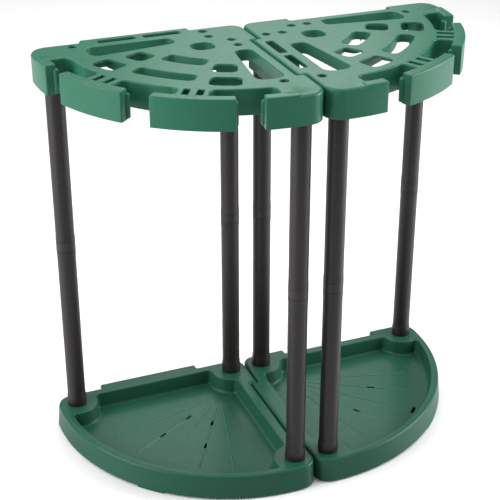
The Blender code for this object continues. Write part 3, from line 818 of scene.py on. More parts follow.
    def plain_openings(self) -> list[Outline]:
        """The openings that are cut through the web alone.

        Returns:
            Their outlines.
        """
        found = [self.sector(hole._replace(angle=angle))
                 for hole in self.pairs for angle in (hole.angle, QUARTER - hole.angle)]
        length, width = self.edge_slot
        for start in self.edge_slot_starts:
            found.append(Outline.bar(start + length / 2, self.plan.tab_clearance + width / 2, 0.0,
                                     self.edge_slot, self.edge_slot_fillet))
        return [*found, *self.tool_holes(), *self.neck_slots()]

    def lip_lines(self) -> list[Line]:
        """Runs of points that the top's triangles follow at the step up to the lips.

        Returns:
            The runs.
        """
        plan, guard = self.plan, self.guard_inner
        clear, margin, start = math.radians(1.7), 0.0002, guard - self.lip_inset
        step = np.linspace(start - margin, start + self.lip_step + margin, 6)
        along = np.linspace(guard + self.lip_inset, plan.arc_radius - self.soft_width - 2 * SUPPORT, 6)
        lines: list[Line] = []
        for span in both_ways((self.side_bay[1] + clear, self.middle_bay_from - clear)):
            lines += [[(c.x, c.y) for c in plan.arc(float(radius), *span)] for radius in step]
        lines += [[plan.polar(radius, angle) for radius in along] for angle in self.lip_angles()]
        return lines

    def along_lip(self, u: float, v: float) -> float:
        """Share of a point's angle that lies on the lips.

        Args:
            u, v: Place of the point.

        Returns:
            1 between the lips' ends and 0 beyond them.
        """
        angle = math.atan2(v - self.plan.arc_centre, u - self.plan.arc_centre)
        inwards = min(angle - self.lip_ends[0], QUARTER - self.lip_ends[1] - angle)
        return eased(inwards / self.lip_ramp + 0.5)

    def lowered(self, u: float, v: float, z: float) -> float:
        """Height of a point once the plate's top is set down below the lips' top.

        Args:
            u, v: Place of the point.
            z: Its height before.

        Returns:
            Its height after.
        """
        depth, run = self.lip_fade
        radius = math.hypot(u - self.plan.arc_centre, v - self.plan.arc_centre)
        outwards = eased((radius - self.guard_inner + self.lip_inset) / self.lip_step)
        return z - self.lip_rise * (1 - outwards * self.along_lip(u, v)) * held((z - self.top + depth) / run)

    def crowned(self, z: float, distance: float) -> Height:
        """Height near the top's edge as a function of the place, sunk where the edge is soft."""
        sink = self.soft_sink * max(0.0, 1 - distance / self.soft_width) ** 2
        return lambda u, v: z - sink * (1 - self.along_lip(u, v))

    def lifted(self, z: float) -> Height:
        """Height of a ring at the skirt's foot, raised under the bays' side and back walls.

        Args:
            z: Height where it isn't raised.

        Returns:
            The height as a function of the place.
        """
        low, high = self.side_bay[0] - self.bay_lift_turn, QUARTER - self.side_bay[0] + self.bay_lift_turn
        limit = self.guard_inner - self.bay_lift_margin - SUPPORT / 2

        def height(u: float, v: float) -> float:
            """Height at one place.

            Args:
                u, v: Place of the point.

            Returns:
                The height.
            """
            across, along = u - self.plan.arc_centre, v - self.plan.arc_centre
            is_bay = low < math.atan2(along, across) < high and math.hypot(across, along) < limit
            return z + self.bay_lift if is_bay else z

        return height

    def mouth_rings(self, hole: Outline, low: float) -> list[Ring]:
        """Rings from the top face over an opening's edge and down its wall to the rim at its foot.

        Args:
            hole: The opening.
            low: Height of the wall's foot.

        Returns:
            The rings.
        """
        rim = self.hole_rim
        return [(hole.inset(-self.hole_round - SUPPORT), self.top),
                *quarter_round(hole, self.hole_round, self.top, -1.0, 5),
                (hole, self.top - self.hole_round - SUPPORT), (hole, low + rim + SUPPORT),
                (hole, low + rim), (hole.inset(-rim), low)]

    def plain_rings(self, hole: Outline) -> list[Ring]:
        """Rings through the web alone, down to its underside."""
        return [*self.mouth_rings(hole, self.under), (hole.inset(-2 * SUPPORT - self.hole_rim), self.under)]

    def sleeve_rings(self, hole: Outline, depth: float) -> list[Ring]:
        """Rings from the top face down an opening's sleeve and up outside it to the web.

        Args:
            hole: The opening.
            depth: How far its sleeve reaches below the top.

        Returns:
            The rings.
        """
        low, under, rim, root = self.top - depth, self.under, self.hole_rim, self.sleeve_root
        outside = hole.inset(-self.sleeve_wall)
        return [*self.mouth_rings(hole, low), (hole.inset(rim - self.sleeve_wall), low),
                (outside, low + rim), (outside, under - root),
                (outside.inset(-root), under), (outside.inset(-root - SUPPORT / 2), under)]

    def edge_rings(self, edge: Outline) -> list[Ring]:
        """Rings from the top face over the outer edge, round the skirt's foot and up to the web.

        Args:
            edge: The outer edge.

        Returns:
            The rings.
        """
        under, radius, foot, root = self.under, self.edge_round, self.foot_round, self.wall_root
        inside = edge.inset(self.wall)
        rings: list[Ring] = [(edge.inset(self.soft_width + SUPPORT), self.top)]
        falls = [(radius + (self.soft_width - radius) * share, 0.0) for share in (1.0, 0.75, 0.5, 0.25)]
        for k in range(8):
            angle = QUARTER * k / 7
            falls.append((radius * (1 - math.sin(angle)), radius * (1 - math.cos(angle))))
        rings += [(edge.inset(distance), self.crowned(self.top - fall, distance)) for distance, fall in falls]
        rings.append((edge, self.crowned(self.top - radius - SUPPORT, 0.0)))
        rings.append((edge, self.lifted(self.bottom + foot + SUPPORT)))
        for outline, z in reversed(quarter_round(edge, foot, self.bottom, 1.0, 3, is_top=False)):
            rings.append((outline, self.lifted(z)))
        rings += [(edge.inset(self.wall - foot / 2), self.lifted(self.bottom)),
                  (inside, self.lifted(self.bottom + foot / 2))]
        return [*rings, (inside, under - root), (inside.inset(root), under),
                (inside.inset(root + SUPPORT / 2), under)]

    def web_ribs(self) -> list[tuple[Outline, float]]:
        """Ribs under the web: behind the pairs, in the necks and by the tab's slots.

        Returns:
            Each rib's outline, and how deep it reaches below the top.
        """
        plan = self.plan
        inner, outer = self.rib_radii
        neck = (self.side_bay[1] - self.neck_rib_overlap, self.middle_bay_from + self.neck_rib_overlap)
        rows = [(inner, span, 0.0, self.rib_depth) for span in both_ways(self.inner_rib)]
        rows.append((outer, (self.outer_rib_from, QUARTER - self.outer_rib_from), 0.0, self.rib_depth))
        end_depth = self.sleeve_depth - self.hole_rim
        rows += [(inner, span, 0.0, end_depth) for span in both_ways(self.inner_rib_end)]
        rows += [(self.bay_inner - self.neck_rib_inset, span, None, self.top - self.bottom - self.bay_lift)
                 for span in both_ways(neck)]
        ribs = [(plan.strip(radius, self.rib_width, span, centre), depth)
                for radius, span, centre, depth in rows]
        start = self.wall / 2 - plan.tab_reach
        for along, end in self.slot_ribs:
            size = (end - start, self.rib_width)
            rib = Outline.bar(along, (start + end) / 2, QUARTER, size, self.slot_rib_fillet, 2)
            ribs.append((rib, self.slot_rib_depth))
        return ribs

    def socket_rings(self, u: float, v: float) -> list[Ring]:
        """Rings from the web down a leg's socket and up inside it to its roof.

        Args:
            u, v: Place of the leg.

        Returns:
            The rings.
        """
        under, root, rim, bore = self.under, self.wall_root, self.socket_rim, self.socket_bore
        outer = bore + self.socket_wall
        return round_rings(u, v, 48, [
            (outer + root + SUPPORT, under), (outer + root, under), (outer, under - root),
            (outer, self.bottom + rim), (outer - rim, self.bottom), (bore + rim, self.bottom),
            (bore, self.bottom + rim), (bore, under - self.socket_roof)])

    def build(self, name: str, side: Side) -> bpy.types.Object:
        """Make the plate of one half.

        Args:
            name: The piece's name.
            side: Which half it is for.

        Returns:
            The piece.
        """
        skin = Skin()
        top_edge, under_edge = skin.sweep(self.edge_rings(self.outline()), is_hole=False)
        through = [self.sleeve_rings(hole, depth) for hole, depth in self.sleeved_openings()]
        through += [self.plain_rings(hole) for hole in self.plain_openings()]
        ends = [skin.sweep(rings, is_hole=True) for rings in through]
        under_holes = [last for _, last in ends]
        for u, v in self.plan.legs():
            first, roof = skin.sweep(self.socket_rings(u, v), is_hole=False)
            under_holes.append(first)
            skin.cap(roof, is_up=False)
        skin.fill(top_edge, [first for first, _ in ends], is_up=True, lines=self.lip_lines())
        skin.fill(under_edge, under_holes, is_up=False)
        for rib, depth in self.web_ribs():
            low, rim = self.top - depth, self.rib_rim
            skin.block([(rib, self.top - self.web / 2), (rib, low + rim), (rib.inset(rim), low)])
        skin.move(self.lowered)
        return skin.piece(name, self.plan.place(side))

    def bead_guides(self, side: Side) -> bpy.types.Mesh:
        """Upright guide lines of the beads on the mouths' end faces.

        Args:
            side: Which half they are for.

        Returns:
            A mesh of the lines.
        """
        place = self.plan.place(side)
        offset = (self.bead_radius - self.bead_stand) / self.guard_inner
        lines = []
        for _, mouth_from, mouth_to, _ in self.bays():
            for angle in (mouth_from - offset, mouth_to + offset):
                x, y = place(*self.plan.polar(self.guard_inner, angle))
                lines.append(((x, y, self.bottom + self.bead_lift), (x, y, self.top - self.bead_drop)))
        return guide_mesh(side.node("bead_guides"), lines)


@dataclass
class TrayMoulding:
    """Tray of a half: a hollow rim round a sunk floor, on three leg posts."""

    plan: Plan
    top: float
    lift: float = 0.003
    wall: float = 0.0035
    wall_fillet: float = 0.0022
    wall_ring: float = 0.0024
    foot_round: float = 0.0010
    flare: float = 0.003
    edge_round: float = 0.005
    sheet: float = 0.003
    sheet_fillet: float = 0.003
    pocket_depth: float = 0.026
    pocket_draft: float = 0.002
    pocket_tab: float = 0.017
    pocket_recess: float = 0.030
    pocket_arc: float = 0.013
    pocket_fillet: float = 0.009
    pocket_round: float = 0.0022
    cove: float = 0.0045
    boss_radius: float = 0.034
    boss_steps: int = 16
    post_radius: float = 0.016
    post_rim: float = 0.0008
    foot_radius: float = 0.0144
    peg_radius: float = 0.0126
    peg_height: float = 0.022
    peg_taper: float = 0.002
    rib_origin: float = 0.060
    rib_start: float = 0.036
    rib_margin: float = 0.035
    rib_radius: float = 0.0017
    rib_sink: float = 0.0008
    rib_gap: float = 0.0006
    rib_angles: tuple[float, ...] = tuple(QUARTER * i / 6 for i in range(1, 6))
    drain_start: float = 0.083
    drain_pitch: float = 0.064
    drain_size: Span = (0.013, 0.004)
    drain_fillet: float = 0.0014
    drain_round: float = 0.0004
    rim_drain_size: Span = (0.020, 0.005)
    rim_drain_fillet: float = 0.0017
    rim_drain_inset: float = 0.018
    arc_foot_size: Span = (0.044, 0.0075)
    arc_foot_rise: float = 0.004
    arc_foot_round: float = 0.0006

    @property
    def floor(self) -> float:
        """Height of the sunk floor."""
        return self.top - self.pocket_depth

    @property
    def under(self) -> float:
        """Height of the rim's underside."""
        return self.top - self.sheet

    def outline(self, z: float) -> Outline:
        """Outer edge at a height, with the arc's flare towards the bottom.

        Args:
            z: The height.

        Returns:
            The outline.
        """
        plan, high = self.plan, self.top - self.edge_round
        flare = self.flare * held((high - z) / (high - self.lift))
        arc = plan.arc(plan.arc_radius + flare, 0.0, QUARTER)
        return Outline(plan.tab_edge(plan.extent + flare) + arc + plan.recess_edge(plan.extent + flare))

    def boss(self, leg: Span, start: Span, end: Span) -> list[Corner]:
        """Outline round a leg's boss between two points of the pocket's wall.

        Args:
            leg: Place of the leg.
            start: Where the wall meets the boss.
            end: Where the wall leaves it.

        Returns:
            The corners.
        """
        first = math.atan2(start[1] - leg[1], start[0] - leg[0])
        sweep = (first - math.atan2(end[1] - leg[1], end[0] - leg[0])) % (2 * math.pi)
        trim = self.pocket_fillet / self.boss_radius
        corners = [Corner(*start, self.pocket_fillet, 9)]
        for i in range(self.boss_steps + 1):
            angle = first - trim - (sweep - 2 * trim) * i / self.boss_steps
            corners.append(Corner(leg[0] + self.boss_radius * math.cos(angle),
                                  leg[1] + self.boss_radius * math.sin(angle)))
        return [*corners, Corner(*end, self.pocket_fillet, 9)]

    def pocket(self) -> Outline:
        """Edge of the sunk floor at the rim, drawn in round the bosses.

        Returns:
            The outline.
        """
        plan = self.plan
        near, far, tab, recess = plan.leg_inset, plan.leg_span, self.pocket_tab, self.pocket_recess
        radius = plan.arc_radius - self.pocket_arc
        outer, inner, front = plan.legs()
        tab_reach = math.sqrt(self.boss_radius ** 2 - (near - tab) ** 2)
        recess_reach = math.sqrt(self.boss_radius ** 2 - (near - recess) ** 2)
        leg_radius = math.hypot(far - plan.arc_centre, near - plan.arc_centre)
        leg_angle = math.atan2(near - plan.arc_centre, far - plan.arc_centre)
        cosine = (radius ** 2 + leg_radius ** 2 - self.boss_radius ** 2) / (2 * radius * leg_radius)
        start = leg_angle + math.acos(cosine)
        end = QUARTER - start
        corners = self.boss(inner, (recess, near + recess_reach), (near + tab_reach, tab))
        corners += self.boss(outer, (far - tab_reach, tab), plan.polar(radius, start))
        corners += plan.between(radius, start, end, (self.pocket_fillet, self.pocket_fillet))
        corners += self.boss(front, plan.polar(radius, end), (recess, far - recess_reach))
        return Outline(corners)

    def drawn(self, z: float) -> float:
        """How far the pocket's wall is drawn in at a height."""
        return self.pocket_draft * (self.top - z) / self.pocket_depth

    def pocket_rings(self) -> list[Ring]:
        """Rings from the rim over the pocket's edge, down its wall and round the cove.

        Returns:
            The rings.
        """
        edge, low, high = self.pocket(), self.floor + self.cove, self.top - 2 * self.pocket_round
        foot = edge.inset(self.drawn(low))
        rings = [(edge.inset(-self.pocket_round - SUPPORT), self.top),
                 *quarter_round(edge, self.pocket_round, self.top, -1.0, 6),
                 (edge.inset(self.drawn(high)), high), (foot, low + 2 * SUPPORT)]
        for k in range(7):
            angle = QUARTER * k / 6
            rings.append((foot.inset(self.cove * (1 - math.cos(angle))), low - self.cove * math.sin(angle)))
        return [*rings, (foot.inset(self.cove + SUPPORT), self.floor)]

    def edge_rings(self) -> list[Ring]:
        """Rings from the rim over the outer edge, round the wall's foot and up inside it.

        Returns:
            The rings.
        """
        edge, base = self.outline(self.top), self.outline(self.lift)
        foot, high, wall = self.foot_round, self.top - self.edge_round, self.wall
        rings = [(edge.inset(self.edge_round + SUPPORT), self.top),
                 *quarter_round(edge, self.edge_round, self.top, 1.0, 8)]
        rings += [(self.outline(z), z) for z in (high - 2 * SUPPORT, self.lift + foot + SUPPORT)]
        rings += reversed(quarter_round(base, foot, self.lift, 1.0, 4, is_top=False))
        return [*rings, (base.inset(wall - foot / 2), self.lift), (base.inset(wall), self.lift + foot / 2),
                (edge.inset(wall), high - foot), (edge.inset(wall + self.wall_fillet), self.under),
                (edge.inset(wall + self.wall_ring), self.under)]

    def post_rings(self, u: float, v: float) -> list[Ring]:
        """Rings from under the rim down a leg post to its foot.

        Args:
            u, v: Place of the leg.

        Returns:
            The rings.
        """
        post, rim, lift, foot = self.post_radius, self.post_rim, self.lift, self.foot_radius
        return round_rings(u, v, 40, [
            (post + rim, self.under), (post, self.under - rim), (post, lift + rim), (post - rim, lift),
            (foot, lift), (foot, rim), (foot - rim, 0.0)])

    def peg_rings(self, u: float, v: float) -> list[Ring]:
        """Rings from the rim up a peg to its top."""
        high, peg, taper = self.top + self.peg_height, self.peg_radius, self.peg_taper
        return round_rings(u, v, 40, [(peg, self.top), (peg, high - taper), (peg - taper, high)])

    def drains(self) -> list[Outline]:
        """Slots through the floor, two along every other rib and one by the arc.

        Returns:
            Their outlines.
        """
        slots = []
        for angle in self.rib_angles[1::2]:
            for k in range(2):
                u, v = self.plan.polar(self.drain_start + self.drain_pitch * k, angle, self.rib_origin)
                slots.append(Outline.bar(u, v, angle, self.drain_size, self.drain_fillet, 4))
        u, v = self.plan.polar(self.plan.arc_radius - self.pocket_arc - self.rim_drain_inset, MIDDLE)
        return [*slots, Outline.bar(u, v, MIDDLE + QUARTER, self.rim_drain_size, self.rim_drain_fillet, 4)]

    def arc_foot(self) -> list[Ring]:
        """Rings of the foot under the middle of the arc.

        Returns:
            The rings.
        """
        (length, width), rim = self.arc_foot_size, self.arc_foot_round
        radius = self.plan.arc_radius + self.flare - SUPPORT - width / 2
        half = length / radius / 2
        strip = self.plan.strip(radius, width, (MIDDLE - half, MIDDLE + half))
        return [(strip, self.lift + self.arc_foot_rise), (strip, rim), (strip.inset(rim), 0.0)]

    def build(self, name: str, side: Side) -> bpy.types.Object:
        """Make the tray of one half.

        Args:
            name: The piece's name.
            side: Which half it is for.

        Returns:
            The piece.
        """
        skin = Skin()
        low, rim, slot_rim = self.floor - self.sheet, self.post_rim, self.drain_round
        rim_edge, under_edge = skin.sweep(self.edge_rings(), is_hole=False)
        rim_hole, floor_edge = skin.sweep(self.pocket_rings(), is_hole=True)
        outside = self.pocket().inset(-self.sheet)
        pocket_under, sheet_edge = skin.sweep([
            (outside.inset(-rim), self.under), (outside, self.under - rim),
            (outside.inset(self.drawn(low)), low + self.sheet_fillet),
            (outside.inset(self.drawn(low) + self.sheet_fillet), low),
        ], is_hole=False)
        slots = [skin.sweep([(slot.inset(-slot_rim), self.floor), (slot, self.floor - slot_rim), (slot, low)],
                            is_hole=True) for slot in self.drains()]
        rim_holes, under_holes = [rim_hole], [pocket_under]
        for u, v in self.plan.legs():
            first, foot = skin.sweep(self.post_rings(u, v), is_hole=False)
            under_holes.append(first)
            skin.cap(foot, is_up=False)
            first, tip = skin.sweep(self.peg_rings(u, v), is_hole=True)
            rim_holes.append(first)
            skin.cap(tip, is_up=True)
        skin.fill(rim_edge, rim_holes, is_up=True)
        skin.fill(floor_edge, [first for first, _ in slots], is_up=True)
        skin.fill(under_edge, under_holes, is_up=False)
        skin.fill(sheet_edge, [last for _, last in slots], is_up=False)
        skin.block(self.arc_foot())
        return skin.piece(name, self.plan.place(side))

    def rib_guides(self, side: Side) -> bpy.types.Mesh:
        """Guide lines of the floor's ribs, broken at the drains.

        Args:
            side: Which half they are for.

        Returns:
            A mesh of the lines.
        """
        plan, place = self.plan, self.plan.place(side)
        radius = plan.arc_radius - self.pocket_arc - self.pocket_draft - self.rib_margin
        offset = self.rib_origin - plan.arc_centre
        gap, height = self.drain_size[0] / 2 + self.rib_gap, self.floor - self.rib_sink
        lines = []
        for i, angle in enumerate(self.rib_angles):
            across = offset * (math.cos(angle) + math.sin(angle))
            stops = [self.rib_start]
            if i % 2:
                for k in range(2):
                    middle = self.drain_start + self.drain_pitch * k
                    stops += [middle - gap, middle + gap]
            stops.append(-across + math.sqrt(across * across + radius * radius - 2 * offset * offset))
            ends = [(*place(*plan.polar(stop, angle, self.rib_origin)), height) for stop in stops]
            lines += zip(ends[::2], ends[1::2])
        return guide_mesh(side.node("rib_guides"), lines)


Values = dict[str | int, object]


@dataclass
class NodeTree:
    """Short calls for building a node tree."""

    tree: bpy.types.NodeTree

    def add(self, kind: str, values: Values | None = None, **settings: object) -> bpy.types.Node:
        """Add a node.

        Args:
            kind: The node's type.
            values: Its inputs' values or the sockets that feed them.
            **settings: Its properties.

        Returns:
            The node.
        """
        node = self.tree.nodes.new(kind)
        for key, value in settings.items():
            setattr(node, key, value)
        for key, value in (values or {}).items():
            if isinstance(value, bpy.types.NodeSocket):
                self.tree.links.new(value, node.inputs[key])
            else:
                node.inputs[key].default_value = value
        return node

    def out(self, kind: str, values: Values | None = None, **settings: object) -> bpy.types.NodeSocket:
        """Add a node and return its first output."""
        return self.add(kind, values, **settings).outputs[0]

    def noise(self, place: bpy.types.NodeSocket, scale: float, detail: float,
              roughness: float) -> bpy.types.NodeSocket:
        """Add a noise texture and return its first output."""
        return self.out("ShaderNodeTexNoise", {
            "Vector": place, "Scale": scale, "Detail": detail, "Roughness": roughness})

    def math(self, operation: str, *inputs: object, is_held: bool = False) -> bpy.types.NodeSocket:
        """Add a math node on numbers or sockets, held between 0 and 1 if asked, and return its output."""
        return self.out("ShaderNodeMath", dict(enumerate(inputs)), operation=operation, use_clamp=is_held)


class RidgeTree:
    """Geometry Nodes that lay a domed ridge along every guide line."""

    def __init__(self) -> None:
        """Make the tree with its named inputs."""
        self.group = bpy.data.node_groups.new("ridge_along_guides", "GeometryNodeTree")
        self.sockets: dict[str, str] = {}
        face = self.group.interface
        face.new_socket("Geometry", in_out="INPUT", socket_type="NodeSocketGeometry")
        face.new_socket("Geometry", in_out="OUTPUT", socket_type="NodeSocketGeometry")
        for name, kind, value in (("Radius", "NodeSocketFloat", 0.001), ("Tip", "NodeSocketFloat", 0.05),
                                  ("Points", "NodeSocketInt", 24), ("Sides", "NodeSocketInt", 16)):
            socket = face.new_socket(name, in_out="INPUT", socket_type=kind)
            socket.default_value = value
            self.sockets[name] = socket.identifier
        material = face.new_socket("Material", in_out="INPUT", socket_type="NodeSocketMaterial")
        self.sockets["Material"] = material.identifier
        self._build()

    def _build(self) -> None:
        """Build the tree: guides to curves, domed radius, sweep, realize, material."""
        nodes = NodeTree(self.group)
        given = nodes.add("NodeGroupInput").outputs
        curve = nodes.out("GeometryNodeMeshToCurve", {"Mesh": given["Geometry"]})
        fine = nodes.out("GeometryNodeResampleCurve", {"Curve": curve, "Count": given["Points"]})
        along = nodes.out("GeometryNodeSplineParameter")
        near = nodes.math("MINIMUM", along, nodes.math("SUBTRACT", 1.0, along))
        rest = nodes.math("SUBTRACT", 1.0, nodes.math("DIVIDE", near, given["Tip"], is_held=True))
        crown = 1.02  # Just over 1, so that the tips keep a little radius.
        dome = nodes.math("SQRT", nodes.math("SUBTRACT", crown, nodes.math("MULTIPLY", rest, rest)))
        shaped = nodes.out("GeometryNodeSetCurveRadius", {"Curve": fine, "Radius": dome})
        profile = nodes.out("GeometryNodeCurvePrimitiveCircle", {
            "Resolution": given["Sides"], "Radius": given["Radius"]})
        swept = nodes.out("GeometryNodeCurveToMesh", {
            "Curve": shaped, "Profile Curve": profile, "Fill Caps": True,
            "Scale": nodes.out("GeometryNodeInputRadius")})
        smooth = nodes.out("GeometryNodeSetShadeSmooth", {"Geometry": swept})
        real = nodes.out("GeometryNodeRealizeInstances", {"Geometry": smooth})
        dressed = nodes.out("GeometryNodeSetMaterial", {"Geometry": real, "Material": given["Material"]})
        nodes.add("NodeGroupOutput", {"Geometry": dressed})

    def apply(self, name: str, guides: bpy.types.Mesh, material: bpy.types.Material,
              sizes: dict[str, float | int]) -> bpy.types.Object:
        """Sweep ridges along a mesh of guide lines and keep the result as a plain mesh.

        Args:
            name: The piece's name.
            guides: Mesh whose edges are the guide lines.
            material: The ridges' finish.
            sizes: Values of the tree's named inputs.

        Returns:
            The piece.
        """
        maker = link(name + "_maker", guides)
        modifier = maker.modifiers.new("ridges", "NODES")
        modifier.node_group = self.group
        for key, value in {**sizes, "Material": material}.items():
            modifier[self.sockets[key]] = value
        depsgraph = bpy.context.evaluated_depsgraph_get()
        data = bpy.data.meshes.new_from_object(maker.evaluated_get(depsgraph))
        bpy.data.objects.remove(maker)
        data.name = name
        return link(name, smoothed(data, RIDGE_CREASE))


@dataclass
class TubeLeg:
    """One leg: a lower tube, a coupler and an upper tube, turned about the leg's axis."""

    side: Side
    leg: Leg
    radius: float = 0.0145
    wall: float = 0.0016
    rim: float = 0.0002
    joint_swell: float = 0.0005
    joint_taper: float = 0.015
    foot_swell: float = 0.0012
    foot_length: float = 0.010
    foot_taper: float = 0.014
    foot_bead: float = 0.0007
    plug: float = 0.025
    plug_wall: float = 0.002
    sides: int = 72

    @property
    def bore(self) -> float:
        """Radius inside the tubes."""
        return self.radius - self.wall

    @property
    def joint(self) -> float:
        """Radius outside at the coupler."""
        return self.radius + self.joint_swell

    def node(self, piece: str) -> str:
        """Name of one of the leg's nodes."""
        return self.side.node(self.leg.value + "_" + piece)

    def turned(self, name: str, profile: Line) -> bpy.types.Object:
        """Turn a closed profile about the leg's axis, as the frame places it.

        Args:
            name: The piece's name.
            profile: Radii and heights, up the outside and down the inside.

        Returns:
            The piece.
        """
        low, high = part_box(self.node("lower_tube"))
        x, y = (low.x + high.x) / 2, (low.y + high.y) / 2
        count, step = self.sides, 2 * math.pi / self.sides
        vertices = [(x + r * math.cos(step * i), y + r * math.sin(step * i), z)
                    for r, z in profile for i in range(count)]
        faces = []
        for k in range(len(profile)):
            here, after = k * count, (k + 1) % len(profile) * count
            for i in range(count):
                j = (i + 1) % count
                faces.append((here + i, here + j, after + j, after + i))
        data = bpy.data.meshes.new(name)
        data.from_pydata(vertices, [], faces)
        data.validate()
        return link(name, smoothed(data, TUBE_CREASE))

    def swell(self, start: Span, end: Span) -> list[tuple[float, float]]:
        """Smooth change of radius between two points of a profile."""
        return [(start[0] + (end[0] - start[0]) * eased(share), start[1] + (end[1] - start[1]) * share)
                for share in (k / 8 for k in range(9))]

    def lower_tube(self) -> bpy.types.Object:
        """The lower tube, swollen at its foot and at the coupler.

        Returns:
            The piece.
        """
        low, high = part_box(self.node("lower_tube"))
        radius, joint, bead, rim = self.radius, self.joint, self.foot_bead, self.rim
        foot, foot_end = radius + self.foot_swell, low.z + self.foot_length
        profile = [(foot - bead, low.z), (foot - bead * 0.3, low.z + bead * 0.3), (foot, low.z + bead)]
        profile += self.swell((foot, foot_end), (radius, foot_end + self.foot_taper))
        profile += self.swell((radius, high.z - self.joint_taper), (joint, high.z - rim))
        profile += [(joint - rim, high.z), (self.bore, high.z), (self.bore, low.z)]
        return self.turned(self.node("tube_low"), profile)

    def upper_tube(self) -> bpy.types.Object:
        """The upper tube, swollen at the coupler.

        Returns:
            The piece.
        """
        low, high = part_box(self.node("upper_tube"))
        radius, joint, rim = self.radius, self.joint, self.rim
        profile = [(joint - rim, low.z), (joint, low.z + rim)]
        profile += self.swell((joint, low.z + rim + SUPPORT), (radius, low.z + self.joint_taper))
        profile += [(radius, high.z - rim), (radius - rim, high.z), (self.bore, high.z), (self.bore, low.z)]
        return self.turned(self.node("tube_high"), profile)

    def coupler(self) -> bpy.types.Object:
        """The coupler: a band between two plugs.

        Returns:
            The piece.
        """
        low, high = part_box(self.node("coupler"))
        plug, band, rim = self.bore - FIT_GAP, self.joint, self.rim
        base, crown, inner = low.z + self.plug, high.z - self.plug, plug - self.plug_wall
        profile = [(plug - rim, low.z), (plug, low.z + rim), (plug, base), (band - rim, base),
                   (band, base + rim), (band, crown - rim), (band - rim, crown), (plug, crown),
                   (plug, high.z - rim),
                   (plug - rim, high.z), (inner, high.z), (inner, low.z)]
        return self.turned(self.node("coupler_band"), profile)


@dataclass(frozen=True)
class PlasticFinish:
    """A moulded plastic: its colour, how far it varies, its gloss and its grain."""

    name: str
    slot: str
    base: tuple[float, float, float]
    shade: tuple[float, float, float]
    roughness: float
    roughness_spread: float
    grain_scale: float
    grain_depth: float
    specular: float
    streak: tuple[float, float, float] = (1.0, 1.0, 1.0)
    patch_scale: float = 9.0

    def material(self) -> bpy.types.Material:
        """Build the node material on Object coordinates.

        Returns:
            The material.
        """
        made = bpy.data.materials.new(self.name)
        made.use_nodes = True
        nodes = NodeTree(made.node_tree)
        shader = made.node_tree.nodes["Principled BSDF"].inputs
        place = nodes.add("ShaderNodeTexCoord").outputs["Object"]
        along = nodes.out("ShaderNodeMapping", {"Vector": place, "Scale": self.streak})
        patches = nodes.noise(along, self.patch_scale, 4.0, 0.55)
        colour = nodes.add("ShaderNodeValToRGB", {"Fac": patches})
        for stop, place_on_ramp, tone in zip(colour.color_ramp.elements, (0.3, 0.7), (self.shade, self.base)):
            stop.position = place_on_ramp
            stop.color = (*tone, 1.0)
        scuffs = nodes.noise(along, self.patch_scale * 9, 5.0, 0.6)
        gloss = nodes.out("ShaderNodeMapRange", {
            "Value": scuffs, "From Min": 0.3, "From Max": 0.7,
            "To Min": self.roughness - self.roughness_spread,
            "To Max": self.roughness + self.roughness_spread})
        grain = nodes.noise(place, self.grain_scale, 3.0, 0.5)
        bump = nodes.out("ShaderNodeBump", {"Height": grain, "Strength": 0.35, "Distance": self.grain_depth})
        for key, socket in (("Base Color", colour.outputs["Color"]), ("Roughness", gloss), ("Normal", bump)):
            made.node_tree.links.new(socket, shader[key])
        shader["Metallic"].default_value = 0.0
        shader["Specular IOR Level"].default_value = self.specular
        return made


PLATE_FINISH = PlasticFinish("plate_green_plastic", "plate_green", (0.0200, 0.1080, 0.0640),
                             (0.0180, 0.1000, 0.0590), 0.31, 0.04, 320.0, 0.00002, 0.14)
# Tray green: the plate's green darkened, painted shade for the shade that the plate casts over the tray.
TRAY_PAINTED_SHADE_FINISH = PlasticFinish("tray_green_painted_shade_plastic", "tray_green", (0.0125, 0.0640, 0.0390),
                            (0.0110, 0.0585, 0.0355), 0.35, 0.04, 320.0, 0.00002, 0.14)
# Rib green: lighter than the tray's green, a painted highlight for the light caught along the ribs' tops.
RIB_PAINTED_HIGHLIGHT_FINISH = PlasticFinish("tray_rib_painted_highlight_plastic", "tray_green", (0.0195, 0.0870, 0.0550),
                           (0.0175, 0.0800, 0.0505), 0.32, 0.04, 320.0, 0.00002, 0.20)
TUBE_FINISH = PlasticFinish("tube_black_plastic", "tube_black", (0.0150, 0.0125, 0.0125),
                            (0.0120, 0.0100, 0.0100), 0.42, 0.05, 900.0, 0.0002, 0.28, (6.0, 6.0, 0.35))
COUPLER_FINISH = PlasticFinish("coupler_black_plastic", "coupler_black", (0.0155, 0.0130, 0.0130),
                               (0.0125, 0.0105, 0.0105), 0.38, 0.05, 900.0, 0.0002, 0.30, (6.0, 6.0, 0.6))
FINISHES = (PLATE_FINISH, TRAY_PAINTED_SHADE_FINISH, RIB_PAINTED_HIGHLIGHT_FINISH, TUBE_FINISH, COUPLER_FINISH)


def link(name: str, data: bpy.types.ID) -> bpy.types.Object:
    """Put a mesh, light or camera in the scene as a named object at the origin.

    Args:
        name: The object's name.
        data: What it shows.

    Returns:
        The object.
    """
    made = bpy.data.objects.new(name, data)
    bpy.context.scene.collection.objects.link(made)
    return made


def dress(piece: bpy.types.Object, side: Side, finish: PlasticFinish, material: bpy.types.Material,
          *nodes: str) -> None:
    """Give a piece its finish and body, and hide the nodes that it stands for.

    Args:
        piece: The piece.
        side: The half that it rides on.
        finish: Its finish; not used.
        material: The finish's material.
        *nodes: Nodes of the frame that it replaces.
    """
    piece.data.materials.clear()
    piece.data.materials.append(material)
    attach(piece, side.body)
    if nodes:
        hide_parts(*nodes)
    LOG.info("%s: %d faces on %s", piece.name, len(piece.data.polygons), side.body)


